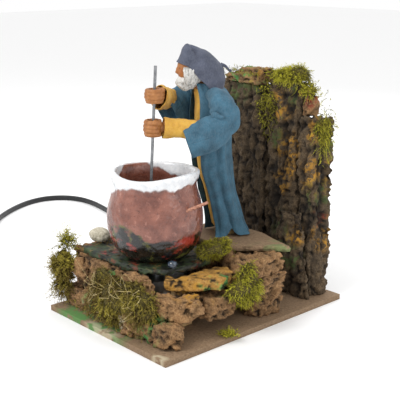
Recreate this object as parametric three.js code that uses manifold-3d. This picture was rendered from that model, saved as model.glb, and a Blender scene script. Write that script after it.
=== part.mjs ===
// Animated nativity-scene figure: a bearded, hooded man stirs a cauldron on a cork hearth.
// A slow synchronous gear motor under the hearth turns a crank inside the cauldron. The crank carries
// the lower end of a leaning rod, so the rod sweeps a narrow cone through the two loose hand loops.
// Millimetres, +Z up. Origin: middle of the board's underside. -Y is the front, the cauldron's end.
// +X is the man's left side.
import * as THREE from "three";
import { mergeVertices } from "three/addons/utils/BufferGeometryUtils.js";
import Module from "manifold-3d";

const wasm = await Module();
wasm.setup();

// ---------------------------------------------------------------- driving sizes
const gap = 0.3; // between pieces that touch or pass through each other
const finestEdge = 0.02; // slivers that a cut leaves are closed below this

const board = { width: 150, depth: 200, thick: 4.5 };

const hearth = { top: 56, thick: 5.7 }; // the slab that the cauldron stands on
const plank = { rise: 4, thick: 5 }; // the man's standing plank, above the hearth's top
const courses = { lowerTop: 20, middleTop: 35.5 }; // the cork layers of the platform

const motor = {
  x: 0,
  y: -46,
  canRadius: 25,
  canBottom: 20,
  canHeight: 20,
  canWall: 0.8,
  coverThick: 1,
  earReach: 31.5,
  earWidth: 9,
  coilInner: 15,
  coilOuter: 23,
  coilHeight: 10,
  rimBossRadius: 6,
  rimBossHeight: 2,
};
const post = { width: 9, length: 14 }; // wooden posts that carry the motor's ears
const screw = { radius: 1.5, headRadius: 2.8, headHeight: 1.6, length: 9 };
const shaft = { radius: 3, bottom: 30 };
const bush = { wall: 1.2, flange: 2, flangeThick: 1 };

const cauldron = {
  height: 69,
  rimRadius: 34.5,
  neckRadius: 33,
  bellyRadius: 38.5,
  bellyHeight: 29,
  footRadius: 22,
  wall: 3,
  floor: 3.2,
  rimWave: 1.1,
  handleRadius: 1.3,
  handleLength: 19.5,
  handleHeight: 45,
};

const crank = { throw: 7.1, width: 9, thick: 4, lift: 2.5 }; // lift above the cauldron's floor
const rod = { radius: 1.2, apex: 112, top: 148 }; // heights above the standing plank
const grubScrew = { radius: 1, length: 2.4 };

const hands = {
  loopRadius: 4.5,
  wall: 2.2,
  leftHeight: 13,
  rightHeight: 11,
  leftRise: 100, // above the standing plank
  rightRise: 125,
  wristRadius: 4,
  armRadius: 3.2,
};

const wall = {
  front: 74,
  back: 98,
  leftTop: 182,
  centreTop: 188,
  rightTop: 160,
  footTop: 80,
};

// A flat two-core lead, 1.5 m from the strain relief to the plug, of which five turns lie in a coil.
const cord = { wide: 6, thick: 3.6, coilRadius: 33, coilTurns: 5, turnPitch: 3.8, exitY: 55, exitRise: 4.4 };
const clamp = { length: 12, width: 13, rise: 9.5 };
const relief = { length: 24, wide: 9, thick: 6.6 };
const plug = { length: 38, width: 24, thick: 13, pinRadius: 2, pinLength: 19, pinSpacing: 18.6 };

const leadHoleRadius = 3.8;

// The man's cloth and body. Heights are above the standing plank.
const cloth = { coat: 2, tunic: 1.6 };
const coatOpening = 9;
const shoulders = { x: 4, y: 8, rise: 119, reach: 24, wireRadius: 1, eyeWall: 3 };
const armClearance = 2.2; // between the swinging sleeves and the coat
const sleeveClearance = 0.6; // between an arm and its sleeves
const head = { x: -1.4, y: -6.6, rise: 142, wide: 8.6, deep: 10.3, high: 12.3, turn: 27, neckRadius: 4 };

// ---------------------------------------------------------------- levels worked out from the sizes
const hearthBottom = hearth.top - hearth.thick;
const plankTop = hearth.top + plank.rise;
const plankBottom = plankTop - plank.thick;
const boardTop = board.thick + gap;
const coverBottom = motor.canBottom + motor.canHeight + gap;
const coverTop = coverBottom + motor.coverThick;
const potBottom = hearth.top + gap;
const potFloor = potBottom + cauldron.floor;
const crankBottom = potFloor + crank.lift;
const crankTop = crankBottom + crank.thick;
const leadHeight = motor.canBottom + 6; // where the mains lead enters the can
const apex = new THREE.Vector3(motor.x, motor.y, plankTop + rod.apex);
const rodTilt = Math.atan(crank.throw / (apex.z - crankTop));

// The man faces the cauldron; his shoulders lie square to that.
const forwards = new THREE.Vector3(-0.34, -0.94, 0).normalize();
const sideways = new THREE.Vector3(-forwards.y, forwards.x, 0);

// ---------------------------------------------------------------- materials
const paint = (color, roughness, metalness = 0) =>
  new THREE.MeshStandardMaterial({ color, roughness, metalness });
const looks = {
  fibreboard: paint(0x8f765c, 0.85),
  cork: paint(0x7a5a3c, 0.95),
  darkBark: paint(0x4a4034, 0.95),
  ochre: paint(0xb07c2e, 0.85),
  hearthGreen: paint(0x35402c, 0.85),
  stone: paint(0xc9c2ac, 0.8),
  pebble: paint(0x2b3440, 0.25),
  brownMoss: paint(0x6d5a2c, 0.95),
  greenMoss: paint(0x8c9432, 0.95),
  copperGlaze: paint(0xa9745f, 0.35),
  copper: paint(0xa9694a, 0.4, 0.7),
  zinc: paint(0xb4b6b4, 0.4, 0.8),
  steel: paint(0x9a9c9e, 0.35, 0.9),
  brass: paint(0xb89a52, 0.35, 0.9),
  coilCopper: paint(0xa35a30, 0.5, 0.6),
  pine: paint(0xc49a68, 0.8),
  crankPlastic: paint(0xe4e0d4, 0.5),
  terracotta: paint(0xb87747, 0.7),
  beard: paint(0xd9d8d2, 0.6),
  slateCloth: paint(0x5b5f70, 0.9),
  tealCloth: paint(0x4a6f83, 0.85),
  mustardCloth: paint(0xe0b44e, 0.85),
  hemp: paint(0xa98c5e, 0.95),
  darkLeather: paint(0x3b2c22, 0.7),
  blackPlastic: paint(0x17181a, 0.5),
  zincWire: paint(0x8c8f90, 0.4, 0.8),
};

// ---------------------------------------------------------------- making and placing solids
const object = new THREE.Group();

// A closed geometry as a solid that can be cut and joined. Points closer than the weld distance become
// one, and triangles that then have no area are left out.
function solidOf(geometry, weld = 1e-4) {
  const bare = geometry.index ? geometry.toNonIndexed() : geometry.clone();
  const position = bare.getAttribute("position");
  const merged = mergeVertices(new THREE.BufferGeometry().setAttribute("position", position), weld);
  const corners = merged.index.array;
  const kept = [];
  for (let i = 0; i < corners.length; i += 3) {
    const [a, b, c] = corners.slice(i, i + 3);
    if (a !== b && b !== c && c !== a) kept.push(a, b, c);
  }
  return new wasm.Manifold(
    new wasm.Mesh({
      numProp: 3,
      vertProperties: merged.attributes.position.array,
      triVerts: new Uint32Array(kept),
    }),
  );
}

// The triangles of a solid as a geometry.
function geometryOf(solid) {
  const mesh = solid.getMesh();
  const geometry = new THREE.BufferGeometry();
  geometry.setAttribute("position", new THREE.Float32BufferAttribute(mesh.vertProperties, 3));
  geometry.setIndex(new THREE.Uint32BufferAttribute(mesh.triVerts, 1));
  geometry.computeVertexNormals();
  return geometry;
}

// The biggest body of a solid, without the crumbs that a cut leaves.
function mainBody(solid) {
  return solid.decompose().sort((a, b) => b.volume() - a.volume())[0];
}

function place(name, solid, material) {
  const geometry = geometryOf(mainBody(solidOf(geometryOf(mainBody(solid)), finestEdge)));
  const mesh = new THREE.Mesh(geometry, material);
  mesh.name = name;
  object.add(mesh);
  return mesh;
}

// An upright cylinder from one height to another.
function upright(x, y, bottom, top, radius, sides = 24) {
  const geometry = new THREE.CylinderGeometry(radius, radius, top - bottom, sides);
  geometry.rotateX(Math.PI / 2);
  geometry.translate(x, y, (bottom + top) / 2);
  return solidOf(geometry);
}

function boxBetween(low, high) {
  const size = high.map((h, i) => h - low[i]);
  const geometry = new THREE.BoxGeometry(...size);
  geometry.translate(...low.map((l, i) => l + size[i] / 2));
  return solidOf(geometry);
}

// A round bar between two points.
function bar(from, to, radius, sides = 12) {
  const along = new THREE.Vector3().subVectors(to, from);
  const geometry = new THREE.CylinderGeometry(radius, radius, along.length(), sides);
  const turn = new THREE.Quaternion().setFromUnitVectors(
    new THREE.Vector3(0, 1, 0),
    along.clone().normalize(),
  );
  geometry.applyQuaternion(turn);
  geometry.translate(...from.clone().addScaledVector(along, 0.5).toArray());
  return solidOf(geometry);
}

// A closed turned shape about an upright axis, from [radius, height] pairs.
function turned(profile, x, y, sides = 32) {
  const points = profile.map(([r, z]) => new THREE.Vector2(r, z));
  const geometry = new THREE.LatheGeometry(points, sides);
  geometry.rotateX(Math.PI / 2);
  geometry.translate(x, y, 0);
  return solidOf(geometry);
}

// A smooth wave between 0 and 1 that is different everywhere and the same on every build.
function ripple(x, y, z, seed) {
  const a = Math.sin(0.23 * x + 0.11 * z + 1.7 * seed) * Math.cos(0.19 * y - 0.13 * x + seed);
  const b = Math.sin(0.31 * z + 0.27 * y + 2.3 * seed) * Math.cos(0.41 * x + 0.9 * seed);
  return 0.5 + 0.25 * (a + b);
}

// A rough block: an outline seen from above, between two heights. Its sides are broken by a wave that
// only ever moves inwards, and its edges are worn back, so that it stays clear of its neighbours.
function block(outline, bottom, top, seed, rough = 3, taper = 0) {
  const edgeStep = top - bottom > 60 ? 11 : 8;
  const layerStep = top - bottom > 60 ? 16 : 8;
  const points = [];
  outline.forEach(([x, y], i) => {
    const [nextX, nextY] = outline[(i + 1) % outline.length];
    const pieces = Math.max(1, Math.round(Math.hypot(nextX - x, nextY - y) / edgeStep));
    for (let k = 0; k < pieces; k++) {
      const share = k / pieces;
      points.push(new THREE.Vector2(x + (nextX - x) * share, y + (nextY - y) * share));
    }
  });
  const layers = Math.max(2, Math.round((top - bottom) / layerStep));
  const geometry = new THREE.ExtrudeGeometry(new THREE.Shape(points), {
    depth: top - bottom,
    steps: layers,
    bevelEnabled: false,
  });
  const middle = points.reduce((sum, p) => sum.add(p), new THREE.Vector2()).divideScalar(points.length);
  const position = geometry.getAttribute("position");
  for (let i = 0; i < position.count; i++) {
    const x = position.getX(i);
    const y = position.getY(i);
    const height = position.getZ(i);
    const reach = Math.hypot(x - middle.x, y - middle.y);
    const share = height / (top - bottom);
    const edge = share < 0.01 || share > 0.99 ? 0.8 : 0;
    const inwards = rough * ripple(x, y, bottom + height, seed) + edge + taper * share * reach;
    const keep = Math.max(0.2, 1 - inwards / reach);
    position.setXYZ(i, middle.x + (x - middle.x) * keep, middle.y + (y - middle.y) * keep, bottom + height);
  }
  return solidOf(geometry);
}

// A lumpy cushion of moss about a centre, kept inside the room that its neighbours leave it.
function clump(centre, radii, room, seed) {
  const geometry = new THREE.IcosahedronGeometry(1, 2);
  const position = geometry.getAttribute("position");
  const spot = new THREE.Vector3();
  for (let i = 0; i < position.count; i++) {
    spot.fromBufferAttribute(position, i);
    const grow = 0.8 + 0.3 * ripple(20 * spot.x, 20 * spot.y, 20 * spot.z, seed);
    position.setXYZ(i, spot.x * radii[0] * grow, spot.y * radii[1] * grow, spot.z * radii[2] * grow);
  }
  geometry.translate(...centre);
  return solidOf(geometry).intersect(boxBetween(room[0], room[1]));
}

// A closed shape through rings: each ring has a centre and two half-axes.
function loft(rings, sides = 16) {
  const geometry = new THREE.CylinderGeometry(1, 1, 1, sides, rings.length - 1);
  const position = geometry.getAttribute("position");
  const last = rings.length - 1;
  const spot = new THREE.Vector3();
  for (let i = 0; i < position.count; i++) {
    const ring = rings[Math.round((0.5 - position.getY(i)) * last)];
    spot.copy(ring.centre);
    spot.addScaledVector(ring.across, position.getX(i));
    spot.addScaledVector(ring.up, position.getZ(i));
    position.setXYZ(i, spot.x, spot.y, spot.z);
  }
  return solidOf(geometry);
}

// Level rings for the body: [height, x, y, half width, half depth], turned to face the cauldron.
function levelRings(rows, grow = 0) {
  return rows.map(([z, x, y, wide, deep]) => ({
    centre: new THREE.Vector3(x, y, z),
    across: sideways.clone().multiplyScalar(wide + grow),
    up: forwards.clone().multiplyScalar(-(deep + grow)),
  }));
}

// Rings square to a path: each row is [point, half width across the man, half height].
function pathRings(rows, grow = 0) {
  return rows.map(([point, wide, high], i) => {
    const before = rows[Math.max(0, i - 1)][0];
    const after = rows[Math.min(rows.length - 1, i + 1)][0];
    const ahead = new THREE.Vector3().subVectors(after, before).normalize();
    const across = sideways.clone().addScaledVector(ahead, -sideways.dot(ahead)).normalize();
    const up = new THREE.Vector3().crossVectors(ahead, across);
    const end = i === 0 ? -grow : i === rows.length - 1 ? grow : 0;
    return {
      centre: point.clone().addScaledVector(ahead, end),
      across: across.multiplyScalar(wide + grow),
      up: up.multiplyScalar(high + grow),
    };
  });
}

function ellipsoid(centre, radii, turn, grow = 0) {
  const geometry = new THREE.SphereGeometry(1, 14, 9);
  geometry.rotateX(Math.PI / 2);
  geometry.scale(...radii.map((r) => r + grow));
  geometry.rotateZ(turn);
  geometry.translate(...centre);
  return solidOf(geometry);
}

const V = (x, y, z) => new THREE.Vector3(x, y, z);

// ---------------------------------------------------------------- board and motor
place(
  "base_board",
  boxBetween([-board.width / 2, -board.depth / 2, 0], [board.width / 2, board.depth / 2, board.thick]),
  looks.fibreboard,
);

function buildMotor() {
  const { x, y, canRadius, canWall, canBottom, canHeight } = motor;
  const canTop = canBottom + canHeight;
  const inside = canRadius - canWall;
  const floor = canBottom + canWall;
  const leadHole = bar(V(x, y + inside - 2, leadHeight), V(x, y + canRadius + 2, leadHeight), leadHoleRadius);
  const can = turned(
    [[0, canBottom], [canRadius, canBottom], [canRadius, canTop], [inside, canTop], [inside, floor], [0, floor]],
    x,
    y,
    40,
  ).subtract(leadHole);
  place("motor_can", can, looks.zinc);

  const coilBottom = floor + gap;
  const coilTop = coilBottom + motor.coilHeight;
  const coil = turned(
    [
      [motor.coilInner, coilBottom],
      [motor.coilOuter, coilBottom],
      [motor.coilOuter, coilTop],
      [motor.coilInner, coilTop],
      [motor.coilInner, coilBottom],
    ],
    x,
    y,
  );
  place("motor_coil", coil, looks.coilCopper);

  const bore = shaft.radius + gap;
  const ear = boxBetween(
    [x - motor.earReach - motor.earWidth / 2, y - motor.earWidth / 2, coverBottom],
    [x + motor.earReach + motor.earWidth / 2, y + motor.earWidth / 2, coverTop],
  );
  const disc = upright(x, y, coverBottom, coverTop, canRadius, 40);
  const boss = upright(x, y, coverBottom, coverTop + motor.rimBossHeight, motor.rimBossRadius);
  let cover = disc.add(ear).add(boss).subtract(upright(x, y, 0, hearth.top, bore));
  for (const side of [-1, 1]) {
    const screwX = x + side * motor.earReach;
    cover = cover.subtract(upright(screwX, y, 0, hearth.top, screw.radius + gap));
    const postTop = coverBottom - gap;
    const wood = boxBetween(
      [screwX - post.width / 2, y - post.length / 2, boardTop],
      [screwX + post.width / 2, y + post.length / 2, postTop],
    ).subtract(upright(screwX, y, postTop - screw.length, hearth.top, screw.radius + gap));
    const clearOfCan = upright(x, y, 0, hearth.top, canRadius + gap, 40);
    place(side < 0 ? "motor_post_right" : "motor_post_left", wood.subtract(clearOfCan), looks.pine);
    const headBottom = coverTop + gap;
    const fastener = upright(screwX, y, headBottom - screw.length, headBottom + gap, screw.radius, 12).add(
      upright(screwX, y, headBottom, headBottom + screw.headHeight, screw.headRadius, 12),
    );
    place(side < 0 ? "motor_screw_right" : "motor_screw_left", fastener, looks.steel);
  }
  place("motor_cover", cover, looks.zinc);
}
buildMotor();

// ---------------------------------------------------------------- cork platform
// Everything that passes through the platform: the motor with its posts, and the shaft.
const motorRoom = upright(motor.x, motor.y, board.thick, hearthBottom, motor.canRadius + 1.5, 40).add(
  boxBetween(
    [motor.x - motor.earReach - post.width, motor.y - post.length, board.thick],
    [motor.x + motor.earReach + post.width, motor.y + post.length, hearthBottom],
  ),
);
const { lowerTop, middleTop } = courses;
const hearthRoom = hearthBottom - gap; // top of the blocks under the hearth
const plankRoom = plankBottom - gap; // top of the blocks under the standing plank
const corkBlocks = [
  // name, outline from above, bottom, top, seed
  ["cork_front_left_lower", [[-76, -86], [-52, -89], [-22, -86], [-22, -74], [-74, -74]], boardTop, lowerTop, 1],
  ["cork_front_right_lower", [[2, -87], [30, -91], [62, -90], [70, -79], [60, -69], [4, -74]], boardTop, 21, 2],
  ["cork_left", [[-77, -72], [-46, -72], [-45, 14], [-54, 30], [-74, 28]], boardTop, hearthRoom, 3],
  ["cork_right_lower", [[50, 4], [64, 8], [69, 30], [66, 37], [50, 34]], boardTop, 27, 4],
  ["cork_back", [[-28, 3], [34, 1], [36, 38], [-28, 40]], boardTop, plankRoom, 5],
  ["cork_front_middle", [[-62, -82], [-20, -82], [22, -81], [26, -74], [-60, -74]], 21.3, hearthRoom, 6],
  ["cork_corner_middle", [[29, -84], [50, -81], [63, -68], [60, -50], [42, -50], [34, -74]], 21.3, 38, 7],
  ["cork_right_middle", [[42, -48], [64, -47], [68, -34], [64, -18], [42, -16]], 17, 33.5, 8],
  ["cork_right_back", [[40, -13], [66, -15], [71, 10], [70, 35], [42, 36]], 27.3, 41, 9],
  ["cork_right_upper", [[38, -8], [66, -12], [70, 12], [68, 34], [40, 37]], 41.3, plankRoom, 10],
];
for (const [name, outline, bottom, top, seed] of corkBlocks) {
  place(name, block(outline, bottom, top, seed).subtract(motorRoom), looks.cork);
}

const ledgeOutline = [[27, -60], [36, -69], [52, -54], [68, -35], [62, -15], [46, -10], [38, -26], [38, -44]];
place("ledge_slab", block(ledgeOutline, 40.5, hearthBottom - gap, 16, 1.5).subtract(motorRoom), looks.ochre);

const shaftHole = upright(motor.x, motor.y, hearthBottom - 10, potFloor + 10, shaft.radius + bush.wall + 2 * gap);
const hearthOutline = [[-60, -79], [-10, -81], [22, -76], [34, -62], [40, -40], [37, -18], [22, -4], [-34, -2], [-62, -16]];
place("hearth_slab", block(hearthOutline, hearthBottom, hearth.top, 17, 1.5).subtract(shaftHole), looks.hearthGreen);

const plankOutline = [[-30, 1], [24, 0.5], [33, 4], [52, 24], [69, 41], [48, 46], [26, 53], [-28, 50]];
place("standing_plank", block(plankOutline, plankBottom, plankTop, 18, 0.8), looks.fibreboard);

const onHearth = hearth.top + gap;
place(
  "pale_stone",
  ellipsoid([-60, -58, onHearth + 5], [10, 7, 6.5], 0.4).intersect(
    boxBetween([-90, -90, onHearth], [0, 0, onHearth + 40]),
  ),
  looks.stone,
);
place(
  "dark_pebble",
  ellipsoid([34, -57.5, onHearth + 2.4], [4.2, 3.6, 3.4], 0.8).intersect(
    boxBetween([0, -90, onHearth], [60, 0, onHearth + 40]),
  ),
  looks.pebble,
);

// ---------------------------------------------------------------- cauldron and drive
function buildCauldron() {
  const { x, y } = motor;
  const c = cauldron;
  const rim = potBottom + c.height;
  // Smooth outside wall from the foot over the belly and in at the neck to the flared rim.
  const outside = new THREE.SplineCurve([
    new THREE.Vector2(c.footRadius, potBottom),
    new THREE.Vector2((c.footRadius + c.bellyRadius) / 2 + 2.5, potBottom + c.bellyHeight * 0.3),
    new THREE.Vector2(c.bellyRadius, potBottom + c.bellyHeight),
    new THREE.Vector2((c.bellyRadius + c.neckRadius) / 2 + 0.6, potBottom + c.height * 0.72),
    new THREE.Vector2(c.neckRadius, potBottom + c.height * 0.88),
    new THREE.Vector2(c.rimRadius, rim),
  ]).getPoints(10);
  const inside = outside
    .filter((p) => p.y > potFloor + 1)
    .map((p) => new THREE.Vector2(p.x - c.wall, p.y))
    .reverse();
  const floorRadius = inside[inside.length - 1].x - 3;
  const profile = [
    new THREE.Vector2(0, potBottom),
    ...outside,
    ...inside,
    new THREE.Vector2(floorRadius, potFloor),
    new THREE.Vector2(0, potFloor),
  ];
  const geometry = new THREE.LatheGeometry(profile, 32);
  geometry.rotateX(Math.PI / 2);
  // The rim is hand-formed: it rises and falls in a slow wave.
  const position = geometry.getAttribute("position");
  for (let i = 0; i < position.count; i++) {
    const height = (position.getZ(i) - potBottom) / c.height;
    const angle = Math.atan2(position.getY(i), position.getX(i));
    const wave = Math.sin(2 * angle + 0.6) + 0.6 * Math.sin(3 * angle + 2);
    position.setZ(i, position.getZ(i) + c.rimWave * wave * Math.max(0, height) ** 4);
  }
  geometry.translate(x, y, 0);
  // A whittled twig is pushed through the wall as a handle.
  const root = V(x + 37, y + 2.7, potBottom + c.handleHeight - 1);
  const direction = V(0.57, 0.63, 0.36).normalize();
  const inner = root.clone().addScaledVector(direction, -c.wall - 1.5);
  const tip = root.clone().addScaledVector(direction, c.handleLength - c.wall);
  const shell = solidOf(geometry).subtract(shaftHole).subtract(bar(inner, tip, c.handleRadius + gap, 8));
  place("cauldron_shell", shell, looks.copperGlaze);
  place("cauldron_handle", bar(inner, tip, c.handleRadius, 8), looks.copper);
}
buildCauldron();

function buildDrive() {
  const { x, y } = motor;
  const bore = shaft.radius + gap;
  const outer = bore + bush.wall - gap;
  const seat = potFloor + gap;
  place(
    "shaft_bush",
    turned(
      [
        [bore, hearthBottom + gap],
        [outer, hearthBottom + gap],
        [outer, seat],
        [outer + bush.flange, seat],
        [outer + bush.flange, seat + bush.flangeThick],
        [bore, seat + bush.flangeThick],
        [bore, hearthBottom + gap],
      ],
      x,
      y,
    ),
    looks.brass,
  );
  place("output_shaft", upright(x, y, shaft.bottom, crankTop, shaft.radius), looks.steel);

  const lean = V(0, Math.sin(rodTilt), Math.cos(rodTilt));
  const topZ = plankTop + rod.top;
  const rodFoot = apex.clone().addScaledVector(lean, -(apex.z - crankBottom) / lean.z);
  const rodTop = apex.clone().addScaledVector(lean, (topZ - apex.z) / lean.z);
  const hubRadius = shaft.radius + 2.4;
  const armEnd = crank.throw + 3.2;
  const arm = boxBetween([x - crank.width / 2, y - armEnd, crankBottom], [x + crank.width / 2, y, crankTop]);
  const hub = upright(x, y, crankBottom, crankTop, hubRadius);
  const grubHeight = (crankBottom + crankTop) / 2;
  const grubHole = bar(V(x, y, grubHeight), V(x, y + 12, grubHeight), grubScrew.radius + gap, 10);
  const crankArm = arm
    .add(hub)
    .subtract(upright(x, y, 0, 200, bore))
    .subtract(bar(rodFoot.clone().addScaledVector(lean, -5), rodTop, rod.radius + gap))
    .subtract(grubHole);
  place("crank_arm", crankArm, looks.crankPlastic);
  place(
    "crank_grub_screw",
    bar(V(x, y + bore, grubHeight), V(x, y + bore + grubScrew.length, grubHeight), grubScrew.radius, 10),
    looks.steel,
  );
  place("stirring_rod", bar(rodFoot, rodTop, rod.radius), looks.zinc);
}
buildDrive();

// ---------------------------------------------------------------- bark wall
const wallBlocks = [
  ["bark_wall_left", [[-58, 76], [-30, 73], [1, 75], [2, 96], [-57, 97]], boardTop, wall.leftTop, 21, 4],
  ["bark_wall_centre", [[3, 77], [20, 74], [41, 77], [41, 96], [3, 96]], boardTop, wall.centreTop, 22, 2.5],
  ["bark_wall_right", [[42, 74], [62, 73], [66, 80], [66, 97], [42, 97]], boardTop, wall.rightTop, 23, 3],
];
for (const [name, outline, bottom, top, seed, rough] of wallBlocks) {
  place(name, block(outline, bottom, top, seed, rough), looks.darkBark);
}
const footOutline = [[18, 66], [34, 63], [60, 66], [66, 69], [64, 72], [20, 72]];
place("bark_wall_foot", block(footOutline, boardTop, wall.footTop, 24, 1, 0.5), looks.darkBark);
const peakOutline = [[42, 78], [50, 76], [54, 84], [52, 94], [42, 95]];
place("bark_wall_peak", block(peakOutline, wall.rightTop + gap, 184, 25, 2, 0.25), looks.cork);
const topOutline = [[-46, 72], [1, 71], [1, 95], [-48, 96]];
const chipOutline = [[-30, 75], [1, 74], [1, 92], [-32, 93]];
const topCork = block(topOutline, wall.leftTop + gap, 189.5, 26, 2).add(block(chipOutline, 188, 196, 27, 2.5));
place("wall_top_cork", topCork, looks.cork);

// ---------------------------------------------------------------- moss
const mossClumps = [
  // name, centre, half sizes, room [low, high], seed, look
  ["moss_front", [9, -89, 28], [42, 11, 26], [[-35, -99, 22], [51, -84.5, 50]], 31, looks.brownMoss],
  ["moss_left", [-71, -86, 38], [13, 12, 17], [[-84, -98, 21], [-50, -84.5, 56]], 32, looks.brownMoss],
  ["moss_by_cauldron", [40, -19, 62], [13, 17, 11], [[28, -38, 60.3], [56, -1, 76]], 33, looks.greenMoss],
  ["moss_right", [73, -16, 42], [8, 15, 20], [[69, -34, 12], [80, 8, 60]], 34, looks.greenMoss],
  ["moss_wall_top", [24, 84, 188], [19, 13, 14], [[3, 68, 188.6], [41.5, 98, 204]], 36, looks.greenMoss],
];
for (const [name, centre, radii, room, seed, look] of mossClumps) {
  place(name, clump(centre, radii, room, seed), look);
}

// ---------------------------------------------------------------- the man
// Outer rows of the coat from hem to neck: [rise, x, y, half width, half depth].
const coatRows = [
  [0.8, 4, 31, 18, 16],
  [12, 3.5, 28.5, 15.5, 14],
  [35, 2, 22.5, 14, 13.5],
  [60, 1.5, 16, 15, 15.5],
  [85, 2.5, 13, 17, 16],
  [105, 4, 12, 18, 17],
  [118, 4, 11, 17.5, 15.5],
  [125, 3, 8, 11.5, 12],
  [128, 2.5, 5.5, 8.5, 9],
];
const onPlank = (rows) => rows.map(([rise, ...rest]) => [plankTop + rise, ...rest]);
const shoulder = V(shoulders.x, shoulders.y, plankTop + shoulders.rise);
const alongWire = (reach) => shoulder.clone().addScaledVector(sideways, reach);
const shoulderLeft = alongWire(shoulders.reach);
const shoulderRight = alongWire(-shoulders.reach);
const wireReach = shoulders.reach + shoulders.eyeWall + 1 + shoulders.wireRadius;
const holeReach = wireReach + 2;
const wireHole = bar(alongWire(-holeReach), alongWire(holeReach), shoulders.wireRadius + gap);

// Where the rod's axis is at a height above the plank.
function rodAt(rise) {
  const z = plankTop + rise;
  return V(motor.x, motor.y + (z - apex.z) * Math.tan(rodTilt), z);
}

const coatOutside = loft(levelRings(onPlank(coatRows)), 20);
const coatGrown = loft(levelRings(onPlank(coatRows), armClearance), 20);

// The head, its hair and its hood share one set of shapes, grown where one passes inside another.
const headTurn = THREE.MathUtils.degToRad(-head.turn);
const headMiddle = V(head.x, head.y, plankTop + head.rise);
const facing = V(Math.sin(headTurn), -Math.cos(headTurn), 0);
const onHead = (ahead, rise) => headMiddle.clone().addScaledVector(facing, ahead).add(V(0, 0, rise));
const headBall = (ahead, rise, radii, grow = 0) => ellipsoid(onHead(ahead, rise).toArray(), radii, headTurn, grow);
const neckFoot = V(2.2, 2.5, plankTop + 127);

function headShape(grow, neckDrop = 0) {
  const foot = neckFoot.clone().addScaledVector(neckFoot.clone().sub(headMiddle).normalize(), neckDrop);
  return headBall(0, 0, [head.wide, head.deep, head.high], grow)
    .add(headBall(head.deep - 1.5, 0, [1.6, 2.8, 2.6], grow))
    .add(bar(foot, headMiddle, head.neckRadius + grow));
}

function hairShape(grow) {
  const hair = 2.2; // thickness of the hair
  return headBall(0, 0, [head.wide, head.deep, head.high], hair + grow).add(
    headBall(5, -9, [7, 6, 9], grow),
  );
}

// A box in front of the head: from a distance behind the face, between two heights.
function faceBox(halfWidth, from, low, high) {
  return boxBetween([-halfWidth, -60, low], [halfWidth, -from, high])
    .rotate([0, 0, -head.turn])
    .translate(headMiddle.toArray());
}

// The wire core of trunk and legs, wound with hemp, with its shoes.
function coreShape(grow, stretch = 0) {
  const rows = [
    [42, 4, 27, 8.5, 5],
    [60, 3, 20, 7.5, 6],
    [90, 4, 14, 8, 7],
    [112, 4, 9, 9, 6],
    [120, 3.8, 7.5, 6, 5],
    [123.5 + stretch, 3, 5, 3.4, 3.4],
  ];
  let core = loft(levelRings(onPlank(rows), grow), 14);
  for (const side of [-1, 1]) {
    const hip = V(4, 27, plankTop + 46).addScaledVector(sideways, side * 4.8);
    const sole = V(4, 31, plankTop + gap - grow).addScaledVector(sideways, side * 5.5);
    const shoeMiddle = sole.clone().addScaledVector(forwards, 2.5);
    const shoe = ellipsoid(shoeMiddle.toArray(), [3.4, 7, 5], Math.atan2(forwards.x, -forwards.y), grow);
    const abovePlank = boxBetween([-90, -90, plankTop + gap - grow], [90, 90, plankTop + 60]);
    core = core.add(bar(sole, hip, 2.8 + grow)).add(shoe.intersect(abovePlank));
  }
  return core;
}

function buildBody() {
  place("body_core", coreShape(0).subtract(wireHole), looks.hemp);
  place("shoulder_wire", bar(alongWire(-wireReach), alongWire(wireReach), shoulders.wireRadius), looks.zincWire);

  const inside = coreShape(gap, 8).add(headShape(gap, 6)).add(wireHole);
  const inCoat = -cloth.coat - gap;
  const tunicRows = onPlank([[5, 3.8, 30, 15, 13.5], ...coatRows.slice(1, -1)]);
  const tunicHollow = tunicRows.map(([z, ...rest], i) => [i === 0 ? z - 4 : z, ...rest]);
  const tunic = loft(levelRings(tunicRows, inCoat), 20)
    .subtract(loft(levelRings(tunicHollow, inCoat - cloth.tunic), 20))
    .subtract(inside);
  place("tunic", tunic, looks.mustardCloth);

  // The coat hangs open down the front.
  const coatHollow = coatRows.map(([rise, ...rest], i) => {
    const stretch = i === 0 ? -3 : i === coatRows.length - 1 ? 3 : 0;
    return [rise + stretch, ...rest];
  });
  const frontGap = boxBetween([-coatOpening / 2, -40, 0], [coatOpening / 2, 0, 400])
    .rotate([0, 0, THREE.MathUtils.radToDeg(Math.atan2(forwards.x, -forwards.y))])
    .translate([shoulders.x, shoulders.y, 0]);
  const coat = coatOutside
    .subtract(loft(levelRings(onPlank(coatHollow), -cloth.coat), 20))
    .subtract(frontGap)
    .subtract(inside);
  place("coat", coat, looks.tealCloth);
}
buildBody();

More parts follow.
